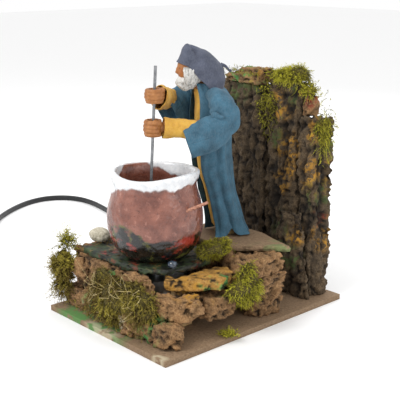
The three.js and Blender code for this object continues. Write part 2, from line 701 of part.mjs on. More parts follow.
function buildHead() {
  place("head", headShape(0), looks.terracotta);

  // Hair at the back and sides and a full beard: a thick skin round the head, open at the face.
  const collar = loft(levelRings(onPlank(coatRows), gap), 20);
  const hair = hairShape(0).subtract(headShape(gap, 9)).subtract(faceBox(6, 2, -3, 30)).subtract(collar);
  place("hair_and_beard", hair, looks.beard);

  // The hood: a pointed cap with a loose back, a tail behind and a cape down to the shoulders.
  const peak = loft(pathRings([
    [onHead(2, 8), 9, 9],
    [onHead(4.5, 22), 2, 3],
  ]), 12);
  const looseBack = loft(pathRings([
    [onHead(-4, 7), 10, 14],
    [onHead(-14, 3), 9, 13],
    [onHead(-23, -3), 4, 9],
  ]), 12);
  const cape = loft(pathRings([
    [onHead(-13, -2), 9, 8],
    [onHead(-15, -20), 6, 3],
  ]), 12);
  const tail = bar(onHead(-18, 6), onHead(-34, 1), 1.4, 8);
  const hood = headBall(-2, 0, [12.2, 14, 16.5])
    .add(peak)
    .add(looseBack)
    .add(cape)
    .add(tail)
    .subtract(hairShape(gap))
    .subtract(headShape(gap, 9))
    .subtract(faceBox(30, 4.5, -40, 6.5))
    .subtract(collar);
  place("hood", hood, looks.slateCloth);
}
buildHead();

// Each arm turns about the shoulder wire: a wire-cored arm with its hand, in a tunic sleeve and a wide
// coat sleeve.
function buildArm(side, shoulderEnd, elbow, handRise, handHeight, coatRowsOfArm, tunicRowsOfArm) {
  const grip = rodAt(handRise);
  const toElbow = elbow.clone().sub(grip).setZ(0).normalize();
  const wrist = grip.clone().addScaledVector(toElbow, 13);
  const low = grip.z - handHeight / 2;
  const high = grip.z + handHeight / 2;
  const eyeReach = sideways.clone().multiplyScalar(shoulders.eyeWall + 1);
  const solidArm = (grow) => {
    const loop = upright(grip.x, grip.y, low - grow, high + grow, hands.loopRadius + hands.wall + grow, 20);
    const palm = bar(grip.clone().addScaledVector(toElbow, 4.5), wrist, hands.wristRadius + grow);
    const eyeEnds = [shoulderEnd.clone().sub(eyeReach), shoulderEnd.clone().add(eyeReach)];
    const eye = bar(eyeEnds[0], eyeEnds[1], shoulders.wireRadius + shoulders.eyeWall + grow, 14);
    const limb = hands.armRadius + grow;
    const upperArm = bar(shoulderEnd, elbow, limb);
    const forearm = bar(elbow, wrist, limb);
    const elbowBall = limb + 1.1;
    const wristBall = limb + 1.6;
    const joint = ellipsoid(elbow.toArray(), [elbowBall, elbowBall, elbowBall], 0.1);
    const ball = ellipsoid(wrist.toArray(), [wristBall, wristBall, wristBall], 0.2);
    return upperArm.add(joint).add(forearm).add(ball).add(eye).add(palm).add(loop);
  };
  const hole = upright(grip.x, grip.y, low - 20, high + 20, hands.loopRadius, 20);
  place("arm_and_hand_" + side, solidArm(0).subtract(hole).subtract(wireHole), looks.terracotta);

  const armGrown = solidArm(sleeveClearance);
  const tunicSleeve = loft(pathRings(tunicRowsOfArm), 16).subtract(armGrown);
  place("tunic_sleeve_" + side, tunicSleeve, looks.mustardCloth);

  // The coat sleeve is a bell with a wall of cloth, open at the wrist.
  const hollowRows = coatRowsOfArm.map(([point, wide, high2]) => [
    point,
    wide - cloth.coat,
    high2 - cloth.coat,
  ]);
  const lastRow = hollowRows.length - 1;
  const outwards = hollowRows[lastRow][0].clone().sub(hollowRows[lastRow - 1][0]).normalize();
  hollowRows[lastRow][0] = hollowRows[lastRow][0].clone().addScaledVector(outwards, 3);
  const coatSleeve = loft(pathRings(coatRowsOfArm), 20)
    .subtract(loft(pathRings(hollowRows.slice(1)), 20))
    .subtract(armGrown)
    .subtract(loft(pathRings(tunicRowsOfArm, gap), 16))
    .subtract(coatGrown)
    .subtract(wireHole);
  place("coat_sleeve_" + side, coatSleeve, looks.tealCloth);
}

buildArm("left", shoulderLeft, V(30.5, 5, plankTop + 104), hands.leftRise, hands.leftHeight, [
  [V(27.5, -1, plankTop + 123), 4.6, 5.5],
  [V(31, 2, plankTop + 114), 6, 8],
  [V(31.5, 3, plankTop + 104), 7, 10],
  [V(24, -8, plankTop + 93), 7.5, 13],
  [V(11, -23, plankTop + 86), 7.5, 14.5],
], [
  [V(17, -15, plankTop + 97), 5, 8],
  [V(9.5, -26, plankTop + 98), 6, 8.5],
  [V(4.5, -35, plankTop + 99), 5.5, 9.5],
]);
buildArm("right", shoulderRight, V(-25, -7, plankTop + 116), hands.rightRise, hands.rightHeight, [
  [V(-18.5, 19, plankTop + 121), 4.6, 5.5],
  [V(-22, 10, plankTop + 117), 6, 9],
  [V(-25, 0, plankTop + 110), 8, 17],
  [V(-23, -12, plankTop + 104), 9.5, 23],
], [
  [V(-24, -10, plankTop + 117), 6, 8],
  [V(-16, -22, plankTop + 118), 7.5, 10],
  [V(-7.5, -31.5, plankTop + 119), 8.5, 12],
]);

// ---------------------------------------------------------------- mains lead
// An eight-sided flat section of the lead, standing on its narrow edge.
function leadSection() {
  const half = cord.wide / 2;
  const side = cord.thick / 2;
  const corner = side * 0.55;
  return new THREE.Shape([
    new THREE.Vector2(side, -half + corner),
    new THREE.Vector2(side, half - corner),
    new THREE.Vector2(side - corner, half),
    new THREE.Vector2(-side + corner, half),
    new THREE.Vector2(-side, half - corner),
    new THREE.Vector2(-side, -half + corner),
    new THREE.Vector2(-side + corner, -half),
    new THREE.Vector2(side - corner, -half),
  ]);
}

function lead(points, steps) {
  const path = new THREE.CatmullRomCurve3(points.map((p) => V(...p)), false, "centripetal");
  // Every ring of the lead stays upright: its wide side is vertical all the way.
  path.computeFrenetFrames = (segments) => {
    const frames = { tangents: [], normals: [], binormals: [] };
    for (let i = 0; i <= segments; i++) {
      const tangent = path.getTangentAt(i / segments);
      const binormal = V(0, 0, 1).addScaledVector(tangent, -tangent.z).normalize();
      frames.tangents.push(tangent);
      frames.binormals.push(binormal);
      frames.normals.push(new THREE.Vector3().crossVectors(binormal, tangent));
    }
    return frames;
  };
  const geometry = new THREE.ExtrudeGeometry(leadSection(), { steps, extrudePath: path, bevelEnabled: false });
  return solidOf(geometry);
}

const boardEdge = -board.width / 2;
const exitHeight = boardTop + cord.exitRise;
const canBack = motor.y + motor.canRadius;
const leadRoute = [
  [motor.x, canBack - 0.6, leadHeight],
  [motor.x - 1, canBack + 8, leadHeight - 1],
  [-14, -4, 19],
  [-30, -1, 12],
  [-37, 10, exitHeight],
  [-37, 36, exitHeight],
  [-44, 50, exitHeight],
  [-56, cord.exitY, exitHeight],
  [boardEdge + clamp.length + gap, cord.exitY, exitHeight],
];
place("motor_lead", lead(leadRoute, 26), looks.blackPlastic);

place(
  "cord_clamp",
  boxBetween(
    [boardEdge, cord.exitY - clamp.width / 2, boardTop],
    [boardEdge + clamp.length, cord.exitY + clamp.width / 2, boardTop + clamp.rise],
  ),
  looks.blackPlastic,
);

const layHeight = cord.wide / 2 + 0.1;
const reliefStart = V(boardEdge - 2 * gap, cord.exitY, exitHeight);
const reliefTip = V(boardEdge - gap - relief.length, cord.exitY + 1.5, exitHeight - 2);
function taper(from, to, wideFrom, highFrom, wideTo, highTo) {
  const ahead = to.clone().sub(from).normalize();
  const across = new THREE.Vector3().crossVectors(V(0, 0, 1), ahead).normalize();
  const up = new THREE.Vector3().crossVectors(ahead, across);
  const ring = (centre, wide, high) => ({
    centre,
    across: across.clone().multiplyScalar(wide / 2),
    up: up.clone().multiplyScalar(high / 2),
  });
  return loft([ring(from, wideFrom, highFrom), ring(to, wideTo, highTo)], 16);
}
place(
  "strain_relief",
  taper(reliefStart, reliefTip, relief.thick, relief.wide, cord.thick + 0.8, cord.wide + 0.8),
  looks.blackPlastic,
);

// The free stretch: off the board, down to the table and round to the coil.
const freeRoute = [
  [reliefTip.x - gap, reliefTip.y, reliefTip.z],
  [-112, 58, 5.2],
  [-126, 61, 3.6],
  [-142, 65, layHeight],
  [-170, 75, layHeight],
  [-200, 87, layHeight],
  [-232, 99, layHeight],
  [-264, 109, layHeight],
  [-294, 116, layHeight],
  [-322, 120, layHeight],
  [-346, 118, layHeight],
  [-365, 107, layHeight],
  [-375, 88, layHeight],
  [-374, 66, layHeight],
  [-366, 45, layHeight],
  [-354, 24, layHeight],
  [-338, 3, layHeight],
  [-318, -15, layHeight],
  [-300, -31, layHeight],
  [-290.5, -48, layHeight],
  [-288.2, -58, layHeight],
];

const coilCentre = V(-331, -60, 0);
const coilHalf = (cord.coilTurns * cord.turnPitch) / 2;
const coilTop = cord.wide + 0.2;
function coilRing(grow) {
  const inner = cord.coilRadius - coilHalf - grow;
  const outer = cord.coilRadius + coilHalf + grow;
  const low = 0.1 - grow;
  const high = coilTop + grow;
  return turned(
    [[inner, low], [outer, low], [outer, high], [inner, high], [inner, low]],
    coilCentre.x,
    coilCentre.y,
  );
}
place("cord_coil", coilRing(0), looks.blackPlastic);
place("cord_free", lead(freeRoute, 44).subtract(coilRing(gap)), looks.blackPlastic);

function buildPlug() {
  const back = V(coilCentre.x - cord.coilRadius + 2, coilCentre.y - plug.length / 2 - 3, coilTop + gap + plug.thick / 2);
  const front = back.clone().add(V(0, plug.length, 0));
  const waist = back.clone().lerp(front, 0.35);
  const ring = (centre, wide, thick) => ({
    centre,
    across: V(-wide / 2, 0, 0),
    up: V(0, 0, thick / 2),
  });
  let body = loft([
    ring(back, 9, 8),
    ring(waist, plug.width * 0.72, plug.thick * 0.85),
    ring(back.clone().lerp(front, 0.75), plug.width, plug.thick),
    ring(front, plug.width - 1, plug.thick - 1),
  ], 20);
  for (const side of [-1, 1]) {
    const foot = front.clone().add(V((side * plug.pinSpacing) / 2, -2, 0));
    body = body.add(bar(foot, foot.clone().add(V(0, plug.pinLength + 2, 0)), plug.pinRadius, 10));
  }
  place("plug", body, looks.blackPlastic);
}
buildPlug();

export default object;
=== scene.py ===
"""Looks for a motorised nativity-scene figure: a hooded man stirs a cauldron on a mossy cork hearth.

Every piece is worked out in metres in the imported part's own frame. Sizes in the code are in millimetres
and are multiplied by MM where they meet the mesh.
"""

import math

import bmesh
import bpy
import numpy as np
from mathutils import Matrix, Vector


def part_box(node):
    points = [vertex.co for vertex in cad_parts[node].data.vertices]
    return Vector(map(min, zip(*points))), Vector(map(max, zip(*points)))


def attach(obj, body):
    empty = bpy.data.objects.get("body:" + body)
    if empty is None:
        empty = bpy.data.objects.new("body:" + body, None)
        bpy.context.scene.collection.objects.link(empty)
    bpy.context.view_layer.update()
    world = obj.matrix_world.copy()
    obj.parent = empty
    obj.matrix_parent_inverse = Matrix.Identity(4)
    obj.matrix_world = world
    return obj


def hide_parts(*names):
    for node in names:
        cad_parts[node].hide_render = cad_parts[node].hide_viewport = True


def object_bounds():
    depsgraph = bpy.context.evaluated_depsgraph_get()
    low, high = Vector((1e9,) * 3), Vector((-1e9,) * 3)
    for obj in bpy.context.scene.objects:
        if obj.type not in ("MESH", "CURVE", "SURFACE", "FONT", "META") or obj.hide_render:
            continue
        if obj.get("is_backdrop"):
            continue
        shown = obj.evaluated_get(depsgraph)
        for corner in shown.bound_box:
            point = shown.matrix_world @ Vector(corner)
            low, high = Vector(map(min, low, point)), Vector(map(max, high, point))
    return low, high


bl_info = {
    "name": "Cauldron Stirring Figure",
    "version": (1, 0, 0),
    "blender": (4, 5, 0),
    "location": "View3D > Sidebar > Figure",
    "description": "Builds the looks of a motorised cauldron stirring figure on its packed frame",
    "category": "Object",
}

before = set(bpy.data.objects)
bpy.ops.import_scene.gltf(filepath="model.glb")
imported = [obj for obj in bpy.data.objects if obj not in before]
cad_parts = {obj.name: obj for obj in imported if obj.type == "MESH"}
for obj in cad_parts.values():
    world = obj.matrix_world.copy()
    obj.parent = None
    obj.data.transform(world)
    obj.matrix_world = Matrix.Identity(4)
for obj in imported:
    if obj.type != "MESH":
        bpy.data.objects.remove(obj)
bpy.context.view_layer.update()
MM = 0.001


def node_box(node):
    """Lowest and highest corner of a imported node, in millimetres."""
    low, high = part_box(node)
    return np.array(low) / MM, np.array(high) / MM


# ---------------------------------------------------------------- number fields
def scrambled(ix, iy, iz, seed):
    """Grid points turned into numbers from 0 to 1 that look random and are the same on every run."""
    h = (ix * 374761393 + iy * 668265263 + iz * 1440662683 + seed * 1274126177) & 0xFFFFFFFF
    h = ((h ^ (h >> 13)) * 1274126177) & 0xFFFFFFFF
    return ((h ^ (h >> 16)) & 0xFFFF) / 65535.0


def soft_noise(points, seed):
    """Numbers at the eight corners of each unit cell, mixed by a smooth step along each axis."""
    cell = np.floor(points).astype(np.int64)
    part = points - cell
    step = part * part * (3 - 2 * part)
    total = np.zeros(points.shape[:-1])
    for corner in range(8):
        dx, dy, dz = corner & 1, (corner >> 1) & 1, corner >> 2
        weight = np.where(dx, step[..., 0], 1 - step[..., 0])
        weight = weight * np.where(dy, step[..., 1], 1 - step[..., 1])
        weight = weight * np.where(dz, step[..., 2], 1 - step[..., 2])
        total += weight * scrambled(cell[..., 0] + dx, cell[..., 1] + dy, cell[..., 2] + dz, seed)
    return total


def layered(points, size, seed, octaves=4):
    """Soft noise of one size with finer, weaker layers on top, from 0 to 1. Size is one number or three."""
    total, weight, share = 0.0, 1.0, 0.0
    scaled = points / np.asarray(size, float)
    for octave in range(octaves):
        total = total + weight * soft_noise(scaled * 2**octave + 17.3 * octave, seed + octave)
        share += weight
        weight *= 0.5
    return total / share


def step_up(values, low, high):
    """0 below low, 1 above high and a smooth step between."""
    t = np.clip((values - low) / (high - low), 0, 1)
    return t * t * (3 - 2 * t)


def cracks(points, size, seed, octaves=3):
    """1 along the thin lines where soft noise crosses its middle, 0 elsewhere."""
    return np.clip(1 - np.abs(2 * layered(points, size, seed, octaves) - 1) * 5, 0, 1)


# ---------------------------------------------------------------- mesh making
def link(obj):
    """Puts a new object in the scene."""
    bpy.context.scene.collection.objects.link(obj)
    return obj


def mesh_object(name, points, faces, attributes=None, uv=None, smooth=True):
    """A mesh object from points in millimetres, faces and per-point numbers."""
    mesh = bpy.data.meshes.new(name)
    mesh.from_pydata((np.asarray(points, float) * MM).tolist(), [], np.asarray(faces).tolist())
    finish_mesh(mesh, attributes, smooth)
    if uv is not None:
        corners = np.zeros(len(mesh.loops), np.int64)
        mesh.loops.foreach_get("vertex_index", corners)
        layer = mesh.uv_layers.new(name="cloth")
        layer.data.foreach_set("uv", np.asarray(uv, np.float32)[corners].ravel())
    return link(bpy.data.objects.new(name, mesh))


def finish_mesh(mesh, attributes, smooth=True):
    """Adds the per-point numbers that materials read, and sets smooth or flat shading."""
    for key, values in (attributes or {}).items():
        layer = mesh.attributes.new(key, "FLOAT", "POINT")
        layer.data.foreach_set("value", np.asarray(values, np.float32).ravel())
    mesh.polygons.foreach_set("use_smooth", np.full(len(mesh.polygons), smooth))
    mesh.update()


def grid_faces(rows, columns, wrap=False):
    """Four-sided faces of a grid of rows by columns; wrap joins the last column to the first."""
    r = np.arange(rows - 1)[:, None]
    c = np.arange(columns if wrap else columns - 1)[None, :]
    right = (c + 1) % columns
    quads = [r * columns + c, r * columns + right, (r + 1) * columns + right, (r + 1) * columns + c]
    return np.stack(np.broadcast_arrays(*quads), -1).reshape(-1, 4)


def curve_through(points, steps):
    """A smooth curve through given points, by the centripetal rule, as an array."""
    p = np.asarray(points, float)
    p = np.vstack([2 * p[0] - p[1], p, 2 * p[-1] - p[-2]])
    knots = np.concatenate([[0], np.cumsum(np.sqrt(np.linalg.norm(np.diff(p, axis=0), axis=1)))])
    out = []
    for i in range(1, len(p) - 2):
        t0, t1, t2, t3 = knots[i - 1 : i + 3]
        t = np.linspace(t1, t2, steps, endpoint=False)[:, None]
        a1 = (t1 - t) / (t1 - t0) * p[i - 1] + (t - t0) / (t1 - t0) * p[i]
        a2 = (t2 - t) / (t2 - t1) * p[i] + (t - t1) / (t2 - t1) * p[i + 1]
        a3 = (t3 - t) / (t3 - t2) * p[i + 1] + (t - t2) / (t3 - t2) * p[i + 2]
        b1 = (t2 - t) / (t2 - t0) * a1 + (t - t0) / (t2 - t0) * a2
        b2 = (t3 - t) / (t3 - t1) * a2 + (t - t1) / (t3 - t1) * a3
        out.append((t2 - t) / (t2 - t1) * b1 + (t - t1) / (t2 - t1) * b2)
    return np.vstack(out + [p[-2:-1]])


def spaced_evenly(path, count):
    """The same path with points at equal distances along it."""
    along = np.concatenate([[0], np.cumsum(np.linalg.norm(np.diff(path, axis=0), axis=1))])
    wanted = np.linspace(0, along[-1], count)
    return np.stack([np.interp(wanted, along, path[:, k]) for k in range(3)], -1)


def frames_along(path, up=(0, 0, 1)):
    """Directions along a path, across it and square to both, keeping as near as can be to up."""
    ahead = np.gradient(path, axis=0)
    ahead /= np.linalg.norm(ahead, axis=1, keepdims=True)
    across = np.cross(np.asarray(up, float), ahead)
    across /= np.maximum(np.linalg.norm(across, axis=1, keepdims=True), 1e-9)
    return ahead, across, np.cross(ahead, across)


def tube_points(path, wide, high, sides, up=(0, 0, 1)):
    """An oval profile carried along a path: centre plus cosine across plus sine upwards."""
    _, across, upward = frames_along(path, up)
    angle = np.linspace(0, 2 * np.pi, sides, endpoint=False)
    wide = np.broadcast_to(wide, len(path))[:, None, None]
    high = np.broadcast_to(high, len(path))[:, None, None]
    ring = np.cos(angle)[None, :, None] * across[:, None] * wide
    return path[:, None] + ring + np.sin(angle)[None, :, None] * upward[:, None] * high


def closed_tube(name, points, attributes=None):
    """Rings of points joined into a tube, with a middle point that closes each end."""
    rings, sides = points.shape[:2]
    flat = points.reshape(-1, 3)
    first, last = points[0].mean(0), points[-1].mean(0)
    around = np.arange(sides)
    n = len(flat)
    start = np.stack([np.full(sides, n), (around + 1) % sides, around], -1)
    finish = np.stack([np.full(sides, n + 1), n - sides + around, n - sides + (around + 1) % sides], -1)
    faces = grid_faces(rings, sides, wrap=True).tolist() + start.tolist() + finish.tolist()
    mesh = bpy.data.meshes.new(name)
    mesh.from_pydata((np.vstack([flat, first, last]) * MM).tolist(), [], faces)
    finish_mesh(mesh, attributes)
    return link(bpy.data.objects.new(name, mesh))


def facing_out(obj):
    """Turns every face of a closed piece outwards, after its doubles are merged."""
    work = bmesh.new()
    work.from_mesh(obj.data)
    bmesh.ops.remove_doubles(work, verts=work.verts, dist=1e-6)
    bmesh.ops.recalc_face_normals(work, faces=work.faces)
    work.to_mesh(obj.data)
    work.free()
    return obj


def rebuilt(name, sources, voxel, rounds=0):
    """One even skin round several closed meshes, rounded by smoothing. Sources are objects or nodes."""
    work = bmesh.new()
    for source in sources:
        mesh = (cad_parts[source] if isinstance(source, str) else source).data
        work.from_mesh(mesh)
    bmesh.ops.remove_doubles(work, verts=work.verts, dist=1e-6)
    mesh = bpy.data.meshes.new(name + "_rough")
    work.to_mesh(mesh)
    work.free()
    obj = link(bpy.data.objects.new(name + "_rough", mesh))
    skin = obj.modifiers.new("skin", "REMESH")
    skin.mode = "VOXEL"
    skin.voxel_size = voxel * MM
    if rounds:
        even = obj.modifiers.new("even", "SMOOTH")
        even.factor = 0.5
        even.iterations = rounds
    graph = bpy.context.evaluated_depsgraph_get()
    fine = bpy.data.meshes.new_from_object(obj.evaluated_get(graph))
    bpy.data.objects.remove(obj)
    fine.name = name
    for source in sources:
        if not isinstance(source, str):
            bpy.data.objects.remove(source)
    return link(bpy.data.objects.new(name, fine))


def points_of(obj):
    """A piece's points and normals, in millimetres."""
    mesh = obj.data
    co = np.zeros(len(mesh.vertices) * 3)
    no = np.zeros(len(mesh.vertices) * 3)
    mesh.vertices.foreach_get("co", co)
    mesh.vertex_normals.foreach_get("vector", no)
    return co.reshape(-1, 3) / MM, no.reshape(-1, 3)


def set_points(obj, points, attributes=None):
    """Moves a piece's points, given in millimetres, and adds its per-point numbers."""
    obj.data.vertices.foreach_set("co", (points * MM).ravel())
    finish_mesh(obj.data, attributes)


def settle(obj, material, body="base", replaces=()):
    """Gives a finished piece its material, its body and the nodes it stands for."""
    obj.data.materials.clear()
    obj.data.materials.append(material)
    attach(obj, body)
    if replaces:
        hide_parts(*replaces)
    return obj


# ---------------------------------------------------------------- shader helpers
class Shader:
    """A material's node tree with short calls for the nodes that this object uses."""

    def __init__(self, tree):
        self.tree = tree
        self.nodes = tree.nodes
        self.links = tree.links

    def put(self, socket, value):
        if isinstance(value, bpy.types.NodeSocket):
            self.links.new(value, socket)
        elif value is not None:
            socket.default_value = value

    def place(self):
        return self.nodes.new("ShaderNodeTexCoord").outputs["Object"]

    def stretched(self, vector, scale):
        node = self.nodes.new("ShaderNodeMapping")
        node.inputs["Scale"].default_value = scale
        self.links.new(vector, node.inputs["Vector"])
        return node.outputs["Vector"]

    def noise(self, vector, size, detail=3.0, rough=0.55, distortion=0.0):
        node = self.nodes.new("ShaderNodeTexNoise")
        self.links.new(vector, node.inputs["Vector"])
        node.inputs["Scale"].default_value = 1 / (size * MM)
        node.inputs["Detail"].default_value = detail
        node.inputs["Roughness"].default_value = rough
        node.inputs["Distortion"].default_value = distortion
        return node.outputs["Fac"]

    def attribute(self, name):
        node = self.nodes.new("ShaderNodeAttribute")
        node.attribute_name = name
        return node.outputs["Fac"]

    def remap(self, value, low, high, to_low=0.0, to_high=1.0):
        node = self.nodes.new("ShaderNodeMapRange")
        self.put(node.inputs["Value"], value)
        for key, number in zip(("From Min", "From Max", "To Min", "To Max"), (low, high, to_low, to_high)):
            node.inputs[key].default_value = number
        return node.outputs["Result"]

    def maths(self, operation, a, b=0.0):
        node = self.nodes.new("ShaderNodeMath")
        node.operation = operation
        self.put(node.inputs[0], a)
        self.put(node.inputs[1], b)
        return node.outputs[0]

    def mixed(self, share, a, b, blend="MIX"):
        node = self.nodes.new("ShaderNodeMix")
        node.data_type = "RGBA"
        node.blend_type = blend
        self.put(node.inputs[0], share)
        self.put(node.inputs[6], a)
        self.put(node.inputs[7], b)
        return node.outputs[2]

    def bump(self, height, strength, distance):
        node = self.nodes.new("ShaderNodeBump")
        node.inputs["Strength"].default_value = strength
        node.inputs["Distance"].default_value = distance * MM
        self.put(node.inputs["Height"], height)
        return node.outputs["Normal"]

    def group(self, group, **values):
        node = self.nodes.new("ShaderNodeGroup")
        node.node_tree = group
        for key, value in values.items():
            self.put(node.inputs[key.replace("_", " ")], value)
        return node


def rgb(text):
    """A colour written as six hexadecimal digits, in linear light."""
    parts = [int(text[i : i + 2], 16) / 255 for i in (0, 2, 4)]
    return tuple(c / 12.92 if c <= 0.04045 else ((c + 0.055) / 1.055) ** 2.4 for c in parts) + (1.0,)


def new_material(name, color, roughness=0.7, normal=None, **constants):
    """A material whose shader stays in it; fields feed its sockets and constants are set on them."""
    material = bpy.data.materials.new(name)
    material.use_nodes = True
    sh = Shader(material.node_tree)
    principled = sh.nodes["Principled BSDF"]
    sh.put(principled.inputs["Base Color"], color(sh) if callable(color) else color)
    sh.put(principled.inputs["Roughness"], roughness(sh) if callable(roughness) else roughness)
    if normal:
        sh.put(principled.inputs["Normal"], normal(sh))
    for key, value in constants.items():
        principled.inputs[key.replace("_", " ")].default_value = value
    return material


def shared_group(name, inputs, build):
    """A node group with a Vector input and named numbers, made once."""
    found = bpy.data.node_groups.get(name)
    if found:
        return found
    group = bpy.data.node_groups.new(name, "ShaderNodeTree")
    group.interface.new_socket("Vector", in_out="INPUT", socket_type="NodeSocketVector")
    for key, kind, value in inputs:
        socket = group.interface.new_socket(key, in_out="INPUT", socket_type="NodeSocket" + kind)
        socket.default_value = value
    group.interface.new_socket("Value", in_out="OUTPUT", socket_type="NodeSocketFloat")
    sh = Shader(group)
    outside = sh.nodes.new("NodeGroupInput")
    result = sh.nodes.new("NodeGroupOutput")
    sh.links.new(build(sh, outside.outputs), result.inputs["Value"])
    return group


def weave_group():
    """Crossing threads: two sine ridges over a square grid of the given pitch."""

    def build(sh, given):
        split = sh.nodes.new("ShaderNodeSeparateXYZ")
        sh.links.new(given["Vector"], split.inputs[0])
        waves = []
        for axis in ("X", "Y"):
            turned = sh.maths("MULTIPLY", split.outputs[axis], given["Threads"])
            waves.append(sh.maths("ABSOLUTE", sh.maths("SINE", turned)))
        return sh.maths("MAXIMUM", waves[0], waves[1])

    return shared_group("Weave", [("Threads", "Float", 5000.0)], build)


def patch_group():
    """Ragged patches: layered noise cut at a level, with a soft rim."""

    def build(sh, given):
        node = sh.nodes.new("ShaderNodeTexNoise")
        sh.links.new(given["Vector"], node.inputs["Vector"])
        sh.links.new(given["Scale"], node.inputs["Scale"])
        node.inputs["Detail"].default_value = 6.0
        node.inputs["Roughness"].default_value = 0.65
        over = sh.maths("SUBTRACT", node.outputs["Fac"], given["Level"])
        cut = sh.maths("MULTIPLY", over, 14.0)
        return sh.maths("MINIMUM", sh.maths("MAXIMUM", cut, 0.0), 1.0)

    return shared_group("Patches", [("Scale", "Float", 60.0), ("Level", "Float", 0.6)], build)


# ---------------------------------------------------------------- sizes and colours
def length(name, description, default):
    """A length in metres that a user can change."""
    return bpy.props.FloatProperty(
        name=name, description=description, default=default, unit="LENGTH", precision=4
    )


def colour(name, description, digits):
    """A colour in linear light that a user can change."""
    return bpy.props.FloatVectorProperty(
        name=name, description=description, default=rgb(digits), subtype="COLOR", size=4, min=0, max=1
    )


class FigureSizes(bpy.types.PropertyGroup):
    """Sizes of what is made on the frame."""

    cork_voxel: length("Cork mesh", "Size of the faces of the cork and bark skins", 0.00105)
    cork_depth: length("Cork roughness", "Depth of the cracks in the cork", 0.0032)
    bark_depth: length("Bark roughness", "Depth of the grooves in the bark", 0.0034)
    sprig: length("Moss sprig", "Length of a sprig of moss", 0.0062)
    cloth: length("Cloth thickness", "Thickness of the cotton cloth", 0.0005)
    thread: length("Thread pitch", "Distance between two threads of the weave", 0.00055)
    lead_width: length("Lead width", "Width of the flat two-core lead", 0.006)
    lead_thick: length("Lead thickness", "Thickness of the flat two-core lead", 0.0036)
    finger: length("Finger radius", "Radius of a finger", 0.0019)


class FigureColours(bpy.types.PropertyGroup):
    """Colours of the finishes."""

    board: colour("Fibreboard", "Bare fibreboard", "8F765C")
    cork: colour("Cork", "Natural cork bark", "8C6640")
    bark: colour("Bark", "Dark bark of the wall", "54432F")
    ochre: colour("Ochre paint", "Paint on the ledge and on the wall", "B0802C")
    green: colour("Green paint", "Paint on the cork and the board", "4E8A46")
    red: colour("Red paint", "Brush strokes on the hearth and the cauldron", "8E2F24")
    copper: colour("Cauldron", "Copper-brown paint of the cauldron", "935D4C")
    white: colour("White paint", "Thick paint over the cauldron's rim", "EDEEEF")
    soot: colour("Soot", "Black paint on the cauldron's foot", "090807")
    coat: colour("Coat", "Teal blue cotton", "3E6A80")
    tunic: colour("Tunic", "Mustard yellow cotton", "DDB04A")
    hood: colour("Hood", "Slate grey cotton", "565B6C")
    skin: colour("Skin", "Painted clay skin", "A9713E")
    hair: colour("Hair", "White hair and beard", "D9D8D4")


# ---------------------------------------------------------------- finishes
def cork_colour(base, dark, light, paints):
    """Cork tone by soft noise, with painted shade darkening the cracks and hollows, and ragged dabs of paint
    where the mesh says.
    """

    def colour_of(sh):
        place = sh.place()
        tone = sh.remap(sh.noise(place, 7, 4), 0.3, 0.7)
        fleck = sh.remap(sh.noise(place, 1.3, 3), 0.35, 0.7)
        mixed = sh.mixed(tone, dark, base)
        mixed = sh.mixed(sh.maths("MULTIPLY", fleck, 0.55), mixed, light)
        for key, paint in paints:
            ragged = sh.group(patch_group(), Vector=place, Scale=240.0, Level=0.42).outputs[0]
            mixed = sh.mixed(sh.maths("MULTIPLY", sh.attribute(key), ragged), mixed, paint)
        # Painted shade: where the mesh marks cracks, pits and low parts, the colour is mixed towards near
        # black.
        hollow = sh.maths("MULTIPLY", sh.attribute("hollow"), 0.93)
        return sh.mixed(hollow, mixed, rgb("120C07"))

    return colour_of


def mottled(size, dark, light, detail=5, rough=0.55, low=0.3, high=0.7):
    """Two tones mixed by soft noise of one size, stretched between the levels low and high."""
    tones = rgb(dark), rgb(light)
    return lambda sh: sh.mixed(sh.remap(sh.noise(sh.place(), size, detail, rough), low, high), *tones)


def fine_bump(size, strength, distance, detail=5.0):
    """Roughness too fine for the mesh."""
    return lambda sh: sh.bump(sh.noise(sh.place(), size, detail, 0.6), strength, distance)


def cloth_material(name, colour_value, thread, shade):
    """Plain woven cotton: threads across and along, a little uneven in tone, with paler flecks."""

    def colour_of(sh):
        place = sh.place()
        tone = sh.remap(sh.noise(place, 9, 3), 0.3, 0.72, 0.0, 1.0)
        worn = sh.mixed(tone, shade, colour_value)
        yarn = sh.remap(sh.noise(sh.stretched(place, (1, 1, 0.4)), 0.7, 2), 0.3, 0.75, 0.0, 0.12)
        return sh.mixed(yarn, worn, sh.mixed(0.35, colour_value, (1, 1, 1, 1)))

    def normal_of(sh):
        cloth = sh.nodes.new("ShaderNodeUVMap")
        cloth.uv_map = "cloth"
        weave = sh.group(weave_group(), Vector=cloth.outputs[0], Threads=math.pi / thread)
        rough = sh.maths("MULTIPLY", sh.noise(sh.place(), 2.4, 3), 0.8)
        return sh.bump(sh.maths("ADD", weave.outputs[0], rough), 0.3, 0.22)

    return new_material(
        name,
        colour_of,
        0.88,
        normal_of,
        Sheen_Weight=0.08,
        Sheen_Roughness=0.5,
        Specular_IOR_Level=0.25,
    )


# ---------------------------------------------------------------- operators
FLOOR_REACH = 4000  # half the floor's side
CAMERA_LENS = 78.94
CAMERA_SPOT = (0.52125, -0.47544, 0.28567)
CAMERA_AIM = (-0.03418, 0.03411, 0.08)
LIGHTS = (
    # name, place in metres, power in watts, side in metres
    ("key_light", (-0.05, -0.75, 0.85), 5.0, 0.4),
    ("side_light", (0.85, 0.1, 0.55), 1.5, 0.6),
    ("back_light", (-0.3, 0.8, 0.7), 2.5, 0.6),
)


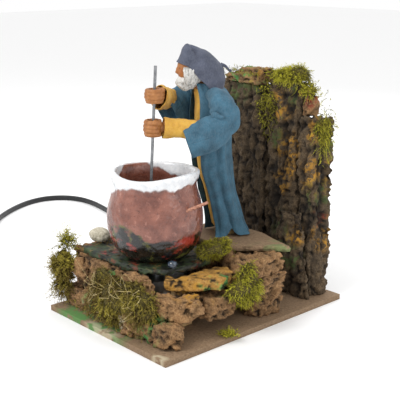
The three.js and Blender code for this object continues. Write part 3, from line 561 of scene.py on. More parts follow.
class FIGURE_OT_stage(bpy.types.Operator):
    """Pale floor, soft studio light and the camera"""

    bl_idname = "figure.stage"
    bl_label = "Stage"

    def execute(self, context):
        scene = bpy.context.scene
        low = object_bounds()[0]
        level = low.z / MM
        square = [[-1, -1], [1, -1], [1, 1], [-1, 1]]
        corners = [[FLOOR_REACH * x, FLOOR_REACH * y, level] for x, y in square]
        floor = mesh_object("floor", corners, [[0, 1, 2, 3]])
        floor.data.materials.append(new_material("paper_floor", rgb("F7F7F7"), 0.9))
        floor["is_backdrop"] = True

        world = bpy.data.worlds.new("studio")
        world.use_nodes = True
        world.node_tree.nodes["Background"].inputs["Color"].default_value = (1, 1, 1, 1)
        world.node_tree.nodes["Background"].inputs["Strength"].default_value = 1.0
        scene.world = world
        for name, spot, energy, size in LIGHTS:
            light = bpy.data.lights.new(name, "AREA")
            light.energy = energy
            light.size = size
            lamp = link(bpy.data.objects.new(name, light))
            lamp.location = spot
            lamp.rotation_euler = (Vector((0, 0, 0.08)) - Vector(spot)).to_track_quat("-Z", "Y").to_euler()

        lens = bpy.data.cameras.new("camera")
        lens.lens = CAMERA_LENS
        lens.sensor_width = 36
        lens.clip_start = 0.05
        camera = link(bpy.data.objects.new("camera", lens))
        camera.location = Vector(CAMERA_SPOT)
        aim = Vector(CAMERA_AIM) - camera.location
        camera.rotation_euler = aim.to_track_quat("-Z", "Y").to_euler()
        scene.camera = camera
        scene.view_settings.view_transform = "Standard"
        return {"FINISHED"}


COIL_TURNS, COIL_PITCH = 4.09, 3.8
# Where the lead lies on the floor between the board and its coil.
LEAD_ROUTE = (
    (-142, 65), (-170, 75), (-200, 87), (-232, 99), (-264, 109), (-294, 116), (-322, 120), (-346, 118),
    (-365, 107), (-375, 88), (-374, 66), (-366, 45), (-354, 24), (-338, 3), (-318, -15), (-300, -31),
)
# Degrees round the coil, distance from its middle, height.
LEAD_CLIMB = ((318, 25.4, 5.0), (296, 26.4, 8.6), (272, 28.6, 11.4), (248, 32.6, 12.8))


class FIGURE_OT_lead(bpy.types.Operator):
    """The free mains lead with its coil, strain relief and plug"""

    bl_idname = "figure.lead"
    bl_label = "Mains lead"

    def execute(self, context):
        sizes = context.scene.figure_sizes
        relief_low, relief_high = node_box("strain_relief")
        coil_low, coil_high = node_box("cord_coil")
        middle = (coil_low + coil_high) / 2
        outer = (coil_high[0] - coil_low[0]) / 2 - COIL_PITCH / 2
        lie = sizes.lead_width / MM / 2 + 0.1
        tip = np.array([relief_low[0] - 0.3, 56.5, 7.2])
        route = [tip, [-112, 58, 5.2], [-126, 61, 3.6]] + [[x, y, lie] for x, y in LEAD_ROUTE]
        turn = np.radians(12) - 2 * np.pi * COIL_TURNS * np.linspace(0, 1, 58)
        radius = np.linspace(outer, outer - COIL_PITCH * COIL_TURNS, len(turn))
        flat = np.stack([radius * np.cos(turn), radius * np.sin(turn)], -1)
        spiral = np.column_stack([middle[:2] + flat, np.full(len(turn), lie)])
        # From the innermost turn it climbs over the others and runs straight into the plug.
        climb = []
        for degrees, away, height in LEAD_CLIMB:
            a = np.radians(degrees)
            climb.append([middle[0] + away * np.cos(a), middle[1] + away * np.sin(a), height])
        plug_low, plug_high = node_box("plug")
        back = [(plug_low[0] + plug_high[0]) / 2, plug_low[1], 13.0]
        climb += [[back[0] + 0.6, back[1] - 7, 13.0], [back[0], back[1] + 1.5, 13.0]]
        path = curve_through(np.vstack([route, spiral, climb]), 6)

        # Two round cores side by side: a profile of two arcs that meet in a groove.
        angle = np.linspace(0, 2 * np.pi, 16, endpoint=False)
        thick, width = sizes.lead_thick / MM / 2, sizes.lead_width / MM / 2
        reach = width - thick
        side = thick * np.cos(angle) * (1 - 0.28 * np.exp(-((np.sin(angle) / 0.3) ** 2)))
        height = np.sin(angle) * thick + reach * np.tanh(3 * np.sin(angle))
        _, across, upward = frames_along(path)
        rings = path[:, None] + side[None, :, None] * across[:, None]
        rings = rings + height[None, :, None] * upward[:, None]
        lead = facing_out(closed_tube("mains_lead", rings))
        black = new_material(
            "black_lead_plastic",
            mottled(12, "101112", "1C1D1F", 3),
            lambda sh: sh.remap(sh.noise(sh.place(), 3, 4), 0.3, 0.7, 0.32, 0.5),
            fine_bump(0.7, 0.12, 0.1),
        )
        settle(lead, black, replaces=["cord_free", "cord_coil"])
        for node in ("plug", "cord_clamp", "motor_lead"):
            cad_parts[node].data.materials.clear()
            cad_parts[node].data.materials.append(black)

        # The relief tapers, with ribs that let it bend.
        across = (relief_low[1] + relief_high[1]) / 2
        start = np.array([relief_high[0], across - 0.6, relief_high[2] - 4.5])
        finish = np.array([relief_low[0], across + 0.8, relief_low[2] + 3.5])
        share = np.linspace(0, 1, 60)
        line = start + share[:, None] * (finish - start)
        rib = 1 - 0.14 * (np.sin(share * 2 * np.pi * 7) > 0.2) * (share > 0.1) * (share < 0.95)
        rounds = tube_points(line, (3.3 - 1.1 * share) * rib, (4.5 - 1.1 * share) * rib, 20)
        relief = facing_out(closed_tube("strain_relief_boot", rounds))
        settle(relief, black, replaces=["strain_relief"])
        return {"FINISHED"}


class FIGURE_OT_board(bpy.types.Operator):
    """The fibreboard base and the man's standing plank"""

    bl_idname = "figure.board"
    bl_label = "Board"

    def execute(self, context):
        colours = context.scene.figure_colours
        low, high = node_box("base_board")
        voxel = rebuilt("board_skin", ["base_board"], 0.9)
        points, normals = points_of(voxel)
        x, y, z = points.T
        edge = step_up(np.abs(normals[:, 2]), 0.9, 0.3)
        fuzz = layered(points, (1.2, 1.2, 0.5), 3, 2) - 0.5
        points = points + normals * (edge * fuzz * 0.45)[:, None]
        points[:, 2] = np.clip(points[:, 2], low[2], high[2])
        ragged = step_up(layered(points, 8, 5), 0.4, 0.52)
        left = step_up(y, low[1] + 22, low[1] + 12) * step_up(x, 34, 8) * step_up(x, -72, -52) * ragged
        corner = step_up(np.abs(x - 66), 9, 4) + step_up(np.abs(x + 5), 26, 12)
        pale = step_up(y, low[1] + 9, low[1] + 3) * corner * step_up(layered(points, 6, 8), 0.42, 0.54)
        crumbs = step_up(layered(points, 1.6, 12, 2), 0.66, 0.78)
        set_points(
            voxel,
            points,
            {"green": left, "pale": np.clip(pale, 0, 1), "hollow": edge * 0.18, "crumb": crumbs},
        )

        def colour_of(sh):
            place = sh.place()
            tone = sh.remap(sh.noise(place, 2.2, 6, 0.75), 0.36, 0.64)
            mixed = sh.mixed(tone, rgb("6E563E"), colours.board)
            fibre = sh.remap(sh.noise(sh.stretched(place, (1, 0.35, 1)), 0.9, 3), 0.35, 0.75, 0.0, 0.5)
            mixed = sh.mixed(fibre, mixed, rgb("A98F70"))
            mixed = sh.mixed(sh.maths("MULTIPLY", sh.attribute("crumb"), 0.35), mixed, rgb("5A4630"))
            mixed = sh.mixed(sh.maths("MULTIPLY", sh.attribute("green"), 0.85), mixed, colours.green)
            mixed = sh.mixed(sh.maths("MULTIPLY", sh.attribute("pale"), 0.6), mixed, rgb("CFC4A6"))
            return sh.mixed(sh.attribute("hollow"), mixed, rgb("4B3826"))

        board = new_material("fibreboard", colour_of, 0.86, fine_bump(0.9, 0.6, 0.4))
        settle(voxel, board, replaces=["base_board"])

        low, high = node_box("standing_plank")
        plank = rebuilt("plank_skin", ["standing_plank"], 0.8, 1)
        points, normals = points_of(plank)
        side = step_up(np.abs(normals[:, 2]), 0.8, 0.3)
        grain = layered(points, (1.6, 8, 0.9), 21, 3) - 0.5
        points = points + normals * ((0.35 + 1.3 * side) * grain)[:, None]
        points[:, 2] = np.minimum(points[:, 2], high[2])
        chipped = step_up(layered(points, 5, 25), 0.5, 0.66) * side
        green = step_up(points[:, 0], 38, 62) * step_up(layered(points, 7, 28), 0.5, 0.6) * 0.5
        shares = {"green": green, "pale": 0 * green, "hollow": chipped * 0.55, "crumb": chipped}
        set_points(plank, points, shares)
        settle(plank, board, replaces=["standing_plank"])
        return {"FINISHED"}


# Where paint was dabbed on the cork: key, place, reach.
DABS = (
    ("green", (66, -28, 44), 12),
    ("green", (62, -44, 46), 9),
    ("green", (60, 6, 30), 9),
    ("green", (40, -80, 13), 16),
    ("green", (-30, -92, 10), 16),
    ("green", (-10, -80, 40), 9),
    ("green", (34, -78, 30), 8),
    ("green", (-25, 84, 190), 20),
    ("green", (-5, 78, 180), 8),
    ("pale", (8, -88, 9), 10),
    ("pale", (-40, -88, 7), 8),
    ("ochre", (-12, 78, 192), 12),
    ("ochre", (52, -52, 47), 20),
    ("ochre", (66, 84, 110), 22),
    ("ochre", (66, 88, 60), 16),
    ("ochre", (30, 74, 132), 15),
    ("ochre", (22, 74, 98), 12),
    ("green", (66, 80, 92), 18),
    ("green", (66, 90, 138), 16),
    ("green", (30, 74, 60), 16),
    ("green", (14, 74, 140), 12),
    ("ochre", (24, 74, 168), 14),
    ("ochre", (33, 74, 112), 9),
    ("ochre", (62, 76, 150), 12),
    ("ochre", (50, 66, 60), 10),
    ("green", (-30, 74, 172), 12),
    ("green", (46, 66, 40), 12),
    ("green", (34, 74, 176), 11),
    ("red", (64, 82, 76), 9),
    ("red", (48, 84, 176), 10),
)


def dabbed(points, seed):
    """Per-point shares of each paint: a round reach about each dab, broken up by noise."""
    ragged = step_up(layered(points, 5, seed + 90), 0.42, 0.58)
    shares = {key: np.zeros(len(points)) for key in ("green", "pale", "ochre", "red")}
    for key, place, reach in DABS:
        away = np.linalg.norm(points - np.array(place), axis=1)
        shares[key] = np.maximum(shares[key], step_up(away, reach * 1.25, reach * 0.55) * ragged)
    return shares


def cork_height(points, seed):
    """Lumps of two sizes, deep ragged cracks that run mostly level, and round pits."""
    lumps = (layered(points, (17, 17, 12), seed) - 0.5) * 1.8
    knots = (layered(points, (3.6, 3.6, 2.6), seed + 5, 4) - 0.5) * 1.5
    split = cracks(points, (18, 18, 9), seed + 9, 3)
    pits = step_up(layered(points, (4.5, 4.5, 3.2), seed + 14, 2), 0.6, 0.76)
    fine = step_up(layered(points, 1.9, seed + 18, 2), 0.62, 0.78)
    height = lumps + knots - 0.6 * split - 0.95 * pits - 0.25 * fine
    # The second value marks the cracks and pits, where painted shade goes.
    return height, np.clip(0.5 * split + 0.95 * pits + 0.35 * fine, 0, 1)


def bark_height(points, seed):
    """Long upright ridges and furrows with ragged breaks across them."""
    ridges = (layered(points, (7, 7, 30), seed, 3) - 0.5) * 1.8
    fibres = (layered(points, (1.8, 1.8, 7), seed + 5, 3) - 0.5) * 1.5
    crumbs = (layered(points, (3.4, 3.4, 3.0), seed + 21, 4) - 0.5) * 1.7
    split = cracks(points, (10, 10, 34), seed + 9, 3)
    breaks = cracks(points, (26, 26, 12), seed + 12, 3) * step_up(layered(points, 18, seed + 15), 0.4, 0.55)
    pits = step_up(layered(points, (3.6, 3.6, 5.5), seed + 25, 2), 0.62, 0.76)
    height = ridges + fibres + crumbs - 0.55 * split - 0.6 * breaks - 0.7 * pits
    # The second value marks the furrows, breaks and pits, where painted shade goes.
    return height, np.clip(0.7 * split + 0.6 * breaks + 0.8 * pits, 0, 1)


def rough_piece(name, node, height, depth, voxel, seed, material, rounds=3, fuller=0.0):
    """A packed block as a natural piece: rounded, then moved along its normals by a height field, with
    painted shade in its cracks and low parts.
    """
    obj = rebuilt(name, [node], voxel, rounds)
    points, normals = points_of(obj)
    raised, hollow = height(points, seed)
    low, high = node_box(node)
    moved = points + normals * (raised * depth + fuller)[:, None]
    moved[:, 2] = np.maximum(moved[:, 2], low[2] - 0.2)
    # Painted shade: the low parts of the height field are darkened as well as the cracks and pits.
    below = step_up(-raised, 0.35, 1.1)
    shares = dabbed(points, seed)
    set_points(obj, moved, {**shares, "hollow": np.clip(hollow * 0.8 + 0.6 * below, 0, 1)})
    return settle(obj, material, replaces=[node])


class FIGURE_OT_cork(bpy.types.Operator):
    """The stacked cork pieces, the ledge and the hearth"""

    bl_idname = "figure.cork"
    bl_label = "Cork hearth"

    def execute(self, context):
        sizes = context.scene.figure_sizes
        colours = context.scene.figure_colours
        paints = (
            ("pale", rgb("C9BFA4")),
            ("ochre", colours.ochre),
            ("red", colours.red),
            ("green", colours.green),
        )
        cork = new_material(
            "natural_cork",
            cork_colour(colours.cork, rgb("4C3018"), rgb("BF9A6C"), paints),
            0.93,
            fine_bump(0.9, 0.5, 0.5),
        )
        voxel, depth = sizes.cork_voxel / MM, sizes.cork_depth / MM
        blocks = [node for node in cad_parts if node.startswith("cork_")]
        for seed, node in enumerate(sorted(blocks)):
            rough_piece(node + "_skin", node, cork_height, depth, voxel, 30 + 7 * seed, cork, 2, 1.5)
        # Chips of cork glued into the joints between the blocks.
        for seed, (place, radii) in enumerate((
            ((27, -77, 43), (6.5, 4.5, 7)),
            ((62, -60, 30), (7, 8, 7)),
            ((57, -12, 36), (6, 6, 6)),
            ((-52, -84, 40), (10, 3.5, 8)),
            ((20, -92, 10), (9, 4, 5)),
        )):
            a, e, u = head_sphere(60, 80)
            shape = np.array(place) + np.stack([a * radii[0], e * radii[1], u * radii[2]], -1)
            chip = mesh_object("chip", shape.reshape(-1, 3), grid_faces(60, 80, wrap=True))
            chip = rebuilt(f"cork_chip_{seed}", [facing_out(chip)], 0.9, 1)
            points, normals = points_of(chip)
            raised, hollow = cork_height(points, 170 + seed)
            moved = points + normals * (raised * depth * 1.2)[:, None]
            # Painted shade in the chip's cracks and pits.
            set_points(chip, moved, {**dabbed(points, 180 + seed), "hollow": hollow * 0.8})
            settle(chip, cork)
        ochre = new_material(
            "ochre_painted_cork",
            cork_colour(colours.ochre, rgb("7A5326"), rgb("D0A45A"), paints),
            0.85,
            fine_bump(1.1, 0.5, 0.5),
        )
        rough_piece("ledge_skin", "ledge_slab", cork_height, 1.6, 0.8, 131, ochre, 1, 0.7)

        def hearth_colour(sh):
            place = sh.place()
            mixed = sh.mixed(sh.remap(sh.noise(place, 9, 5), 0.4, 0.7), rgb("1B2119"), rgb("3F5230"))
            red = sh.group(patch_group(), Vector=sh.stretched(place, (1, 1.4, 1)), Scale=55.0, Level=0.55)
            mixed = sh.mixed(sh.maths("MULTIPLY", red.outputs[0], 0.75), mixed, colours.red)
            brown = sh.group(patch_group(), Vector=place, Scale=120.0, Level=0.56).outputs[0]
            mixed = sh.mixed(sh.maths("MULTIPLY", brown, 0.7), mixed, rgb("8A6A3C"))
            # Painted shade in the cracks and pits of the hearth.
            return sh.mixed(sh.maths("MULTIPLY", sh.attribute("hollow"), 0.9), mixed, rgb("100D08"))

        hearth = new_material("painted_hearth", hearth_colour, 0.62, fine_bump(1.0, 0.45, 0.4))
        rough_piece("hearth_skin", "hearth_slab", cork_height, 1.1, 0.9, 151, hearth, 1)
        return {"FINISHED"}


class FIGURE_OT_bark(bpy.types.Operator):
    """The bark wall"""

    bl_idname = "figure.bark"
    bl_label = "Bark wall"

    def execute(self, context):
        sizes = context.scene.figure_sizes
        colours = context.scene.figure_colours
        paints = (
            ("ochre", colours.ochre),
            ("green", rgb("4D5A30")),
            ("red", colours.red),
            ("pale", rgb("B79A86")),
        )
        bark = new_material(
            "dark_bark",
            cork_colour(colours.bark, rgb("241B12"), rgb("7D6A50"), paints),
            0.93,
            fine_bump(0.9, 0.55, 0.6),
        )
        depth = sizes.bark_depth / MM
        for seed, part in enumerate(("left", "centre", "right", "foot")):
            node = "bark_wall_" + part
            rough_piece(node + "_skin", node, bark_height, depth, 1.3, 200 + 9 * seed, bark, 4)
        cork = bpy.data.materials["natural_cork"]
        rough_piece("bark_peak_skin", "bark_wall_peak", cork_height, 3.0, 1.0, 261, cork, 3)
        rough_piece("wall_top_skin", "wall_top_cork", cork_height, 3.0, 1.1, 271, cork, 2)
        return {"FINISHED"}


class FIGURE_OT_stones(bpy.types.Operator):
    """The pale stone and the glossy pebble"""

    bl_idname = "figure.stones"
    bl_label = "Stones"

    def execute(self, context):
        pale = new_material(
            "pale_stone",
            mottled(3, "9C937C", "DAD3C0", 6, 0.7, 0.35, 0.65),
            0.82,
            fine_bump(0.8, 0.5, 0.4),
        )
        dark = new_material(
            "glossy_pebble",
            mottled(2.2, "1B222B", "3C4A5A", 4, low=0.4, high=0.6),
            0.18,
            fine_bump(1.5, 0.1, 0.2),
            Coat_Weight=0.6,
        )
        for node, name, material, slot, lump, seed in (
            ("pale_stone", "pale_stone_skin", pale, "stone", 1.3, 301),
            ("dark_pebble", "dark_pebble_skin", dark, "pebble", 0.5, 311),
        ):
            obj = rebuilt(name, [node], 0.5, 6)
            points, normals = points_of(obj)
            raised = (layered(points, 5, seed) - 0.5) * 2
            set_points(obj, points + normals * (raised * lump)[:, None])
            settle(obj, material, replaces=[node])
        return {"FINISHED"}


# ---------------------------------------------------------------- moss
def sprig_mesh(name, roots, heads, lengths, seed, droop=0.35, leaves=9, tone=0.5):
    """Feathery sprigs: from each root a three-sided stem bends over by the square of its length and
    carries thin pointed leaves on alternate sides, shorter towards the tip."""
    count = len(roots)
    rng = np.random.default_rng(seed)
    heads = heads / np.linalg.norm(heads, axis=1, keepdims=True)
    aside = np.cross(heads, rng.normal(size=(count, 3)))
    aside /= np.linalg.norm(aside, axis=1, keepdims=True)
    across = np.cross(heads, aside)
    bend = (aside * rng.uniform(0.1, 0.6, (count, 1)) + np.array([0, 0, -droop])) * lengths[:, None]

    def along(share):
        share = np.asarray(share)[None, :, None]
        return roots[:, None] + heads[:, None] * lengths[:, None, None] * share + bend[:, None] * share**2

    rings = 4
    share = np.linspace(0, 1, rings)
    angle = np.arange(3) * 2 * np.pi / 3
    thick = (0.26 * (1 - 0.75 * share))[None, :, None, None]
    spoke = np.cos(angle)[None, None, :, None] * aside[:, None, None]
    spoke = spoke + np.sin(angle)[None, None, :, None] * across[:, None, None]
    stem = along(share)[:, :, None] + spoke * thick
    stem = stem.reshape(count, -1, 3)

    at = np.linspace(0.18, 0.97, leaves)
    base = along(at)
    side = np.where(np.arange(leaves) % 2, 1.0, -1.0)[None, :, None]
    turn = np.arange(leaves)[None, :, None] * 0.9
    out = across[:, None] * np.cos(turn) * side + aside[:, None] * np.sin(turn)
    reach = lengths[:, None, None] * (0.34 * (1 - 0.6 * at))[None, :, None]
    tip = base + (out + 0.8 * heads[:, None]) * reach * 0.75
    half = (base + tip) / 2
    broad = np.cross(out, heads[:, None]) * reach * 0.16
    leaf = np.stack([base, half + broad, tip, half - broad], 2).reshape(count, -1, 3)

    points = np.concatenate([stem, leaf], 1)
    points[..., 2] = np.maximum(points[..., 2], 4.7)
    per = points.shape[1]
    stem_faces = grid_faces(rings, 3, wrap=True)
    leaf_faces = rings * 3 + np.arange(leaves)[:, None] * 4 + np.arange(4)[None]
    template = np.vstack([stem_faces, leaf_faces])
    faces = (template[None] + np.arange(count)[:, None, None] * per).reshape(-1, 4)
    patch = (layered(roots, 9, seed + 31, 2) - 0.5)[:, None] * 2.0
    tint = np.clip(tone + patch + rng.normal(0, 0.2, (count, 1)) + np.zeros((1, per)), 0, 1)
    ring_light = np.repeat(share, 3)[None]
    leaf_light = np.repeat(at, 4)[None]
    light = np.concatenate([ring_light, leaf_light], 1) + np.zeros((count, 1))
    shades = {"tint": tint.ravel(), "light": light.ravel()}
    return mesh_object(name, points.reshape(-1, 3), faces, shades, smooth=False)


def scattered(obj, count, seed, keep=None):
    """Random points on a mesh, spread by area, with the normals there."""
    mesh = obj.data
    mesh.calc_loop_triangles()
    corners = np.zeros(len(mesh.loop_triangles) * 3, np.int64)
    mesh.loop_triangles.foreach_get("vertices", corners)
    points, _ = points_of(obj)
    a, b, c = (points[corners.reshape(-1, 3)[:, k]] for k in range(3))
    cross = np.cross(b - a, c - a)
    area = np.linalg.norm(cross, axis=1)
    normals = cross / np.maximum(area, 1e-12)[:, None]
    weight = area * (1.0 if keep is None else keep((a + b + c) / 3, normals))
    rng = np.random.default_rng(seed)
    picked = rng.choice(len(area), count, p=weight / weight.sum())
    u, v = rng.uniform(size=(2, count, 1))
    flip = u + v > 1
    u, v = np.where(flip, 1 - u, u), np.where(flip, 1 - v, v)
    return a[picked] + u * (b - a)[picked] + v * (c - a)[picked], normals[picked]


def moss_material(name, dark, middle, light):
    """Moss: dark at the foot of each sprig, yellow at its tips, each sprig in its own tone."""

    def colour_of(sh):
        body = sh.mixed(sh.attribute("tint"), middle, light)
        return sh.mixed(sh.remap(sh.attribute("light"), 0.0, 0.65), dark, body)

    return new_material(name, colour_of, 0.8, Specular_IOR_Level=0.25, Subsurface_Weight=0.0)


class FIGURE_OT_moss(bpy.types.Operator):
    """Cushions and sprigs of dried moss"""

    bl_idname = "figure.moss"
    bl_label = "Moss"

    def execute(self, context):
        sizes = context.scene.figure_sizes
        brown = moss_material("brown_moss", rgb("241A0B"), rgb("63502A"), rgb("A1943A"))
        green = moss_material("green_moss", rgb("2C290C"), rgb("7E7824"), rgb("C4BE3C"))
        earth = cork_colour(rgb("4A4018"), rgb("241D0C"), rgb("6A6024"), ())
        ground = new_material("moss_ground", earth, 0.95)
        size = sizes.sprig / MM
        for node, material, count, reach, droop, seed in (
            ("moss_front", brown, 2600, 1.15, 0.6, 401),
            ("moss_left", brown, 1500, 1.1, 0.2, 411),
            ("moss_by_cauldron", green, 1500, 0.8, 0.3, 421),
            ("moss_right", green, 1500, 0.85, 0.5, 431),
            ("moss_wall_top", green, 1700, 1.0, 0.25, 441),
        ):
            cushion = rebuilt(node + "_cushion", [node], 1.0, 6)
            points, normals = points_of(cushion)
            lumps = layered(points, 10, seed, 3) - 0.5
            moved = points + normals * (lumps * 15 - 2.6)[:, None]
            # Painted shade: the cushion's low parts are darkened.
            set_points(cushion, moved, {"hollow": step_up(-lumps, 0.0, 0.2) * 0.8})
            roots, heads = scattered(cushion, count, seed + 1)
            rng = np.random.default_rng(seed + 2)
            heads = heads + rng.normal(0, 0.9, heads.shape) + np.array([0, 0, 0.15])
            bushy = step_up(layered(roots, 7, seed + 5, 2), 0.35, 0.62)
            lengths = size * reach * (0.35 + 0.8 * bushy) * rng.uniform(0.5, 1.3, count)
            tufts = sprig_mesh(node + "_sprigs", roots, heads, lengths, seed + 3, droop)
            settle(cushion, ground, replaces=[node])
            settle(tufts, material)

        # Loose growth: along the hearth's edges, on the wall and its top, and a tuft on the board.
        rng = np.random.default_rng(450)
        for name, place, spread, count, reach, material, droop in (
            ("moss_tuft_board", (72, -33, 6), (5, 5, 1), 150, 0.8, green, 0.1),
            ("moss_sprig_left", (-70, -84, 58), (5, 4, 4), 110, 1.6, green, -0.3),
            ("moss_left_low", (-72, -90, 20), (8, 4, 7), 260, 1.3, brown, 0.8),
            ("moss_front_low", (-10, -90, 12), (30, 3, 5), 300, 1.0, brown, 0.8),
            ("moss_hearth_back", (30, -8, 59), (12, 5, 2), 200, 0.7, green, 0.2),
            ("moss_stone", (-58, -52, 58), (8, 5, 2), 130, 0.8, brown, 0.2),
            ("moss_top_left", (-20, 84, 191), (26, 10, 2), 320, 0.7, green, 0.2),
            ("moss_top_right", (46, 84, 182), (7, 7, 5), 260, 0.9, green, 0.5),
            ("moss_wall_high", (8, 74, 165), (9, 2.5, 16), 200, 0.9, green, 0.7),
            ("moss_wall_trail", (66, 82, 150), (3, 8, 16), 320, 0.9, green, 0.9),
        ):
            roots = np.array(place) + rng.normal(size=(count, 3)) * np.array(spread) * 0.6
            roots[:, 2] = np.maximum(roots[:, 2], 5.0)
            heads = rng.normal(size=(count, 3)) * 0.8 + np.array([0.35, -0.35, 0.5])
            lengths = size * reach * rng.uniform(0.5, 1.2, count)
            growth = sprig_mesh(name, roots, heads, lengths, 460 + count, droop, tone=0.45)
            settle(growth, material)

        # Dry grass-like strands over the front cushion.
        count = 46
        low, high = node_box("moss_front")
        nearest = [low[0] + 4, low[1] - 1, low[2] + 4]
        furthest = [high[0] - 6, low[1] + 5, high[2] - 2]
        start = rng.uniform(nearest, furthest, (count, 3))
        t = np.linspace(0, 1, 12)[None, :, None]
        sweep = rng.normal(size=(count, 1, 3)) * np.array([9, 2.0, 7])
        curl = rng.normal(size=(count, 1, 3)) * np.array([5, 2.0, 5])
        lines = start[:, None] + sweep * t + curl * np.sin(t * 2.6)
        lines = lines - np.array([0, 2.5, 0]) * np.sin(t * np.pi)
        lines[..., 2] = np.maximum(lines[..., 2], 5.2)
        spoke = np.array([[0, 0, 1], [0.87, 0, -0.5], [-0.87, 0, -0.5]]) * 0.22
        rings = (lines[:, :, None] + spoke[None, None]).reshape(-1, 3)
        faces = (grid_faces(12, 3, wrap=True)[None] + np.arange(count)[:, None, None] * 36).reshape(-1, 4)
        strands = mesh_object("dry_strands", rings, faces)
        straw = new_material(
            "dry_straw",
            mottled(6, "8F7A45", "D8C58C", 2, low=0.35, high=0.65),
            0.7,
        )
        settle(strands, straw)
        return {"FINISHED"}


# ---------------------------------------------------------------- cauldron and drive
POT = np.array([0.0, -46.0, 56.3])
POT_PROFILE = (
    (0, 0), (12, 0), (21, 0.1), (25.4, 1.8), (31.2, 6.4), (35.6, 14), (37.7, 21.5), (38.4, 29), (38.2, 36),
    (36.9, 44), (34.9, 52), (33.3, 58), (33.2, 61.5), (34.0, 65), (34.6, 68.2), (33.6, 69.4), (32.0, 69.0),
    (30.9, 66), (30.3, 61), (31.8, 54), (34.0, 45), (35.2, 34), (34.6, 26), (31.5, 17), (26, 10), (19, 5.2),
    (10, 3.2), (4.3, 3.0),
)


def rim_wave(angle):
    """How far the rim rises and falls round the pot: a wave of two turns and one of three."""
    return 1.1 * (np.sin(2 * angle + 0.6) + 0.6 * np.sin(3 * angle + 2))


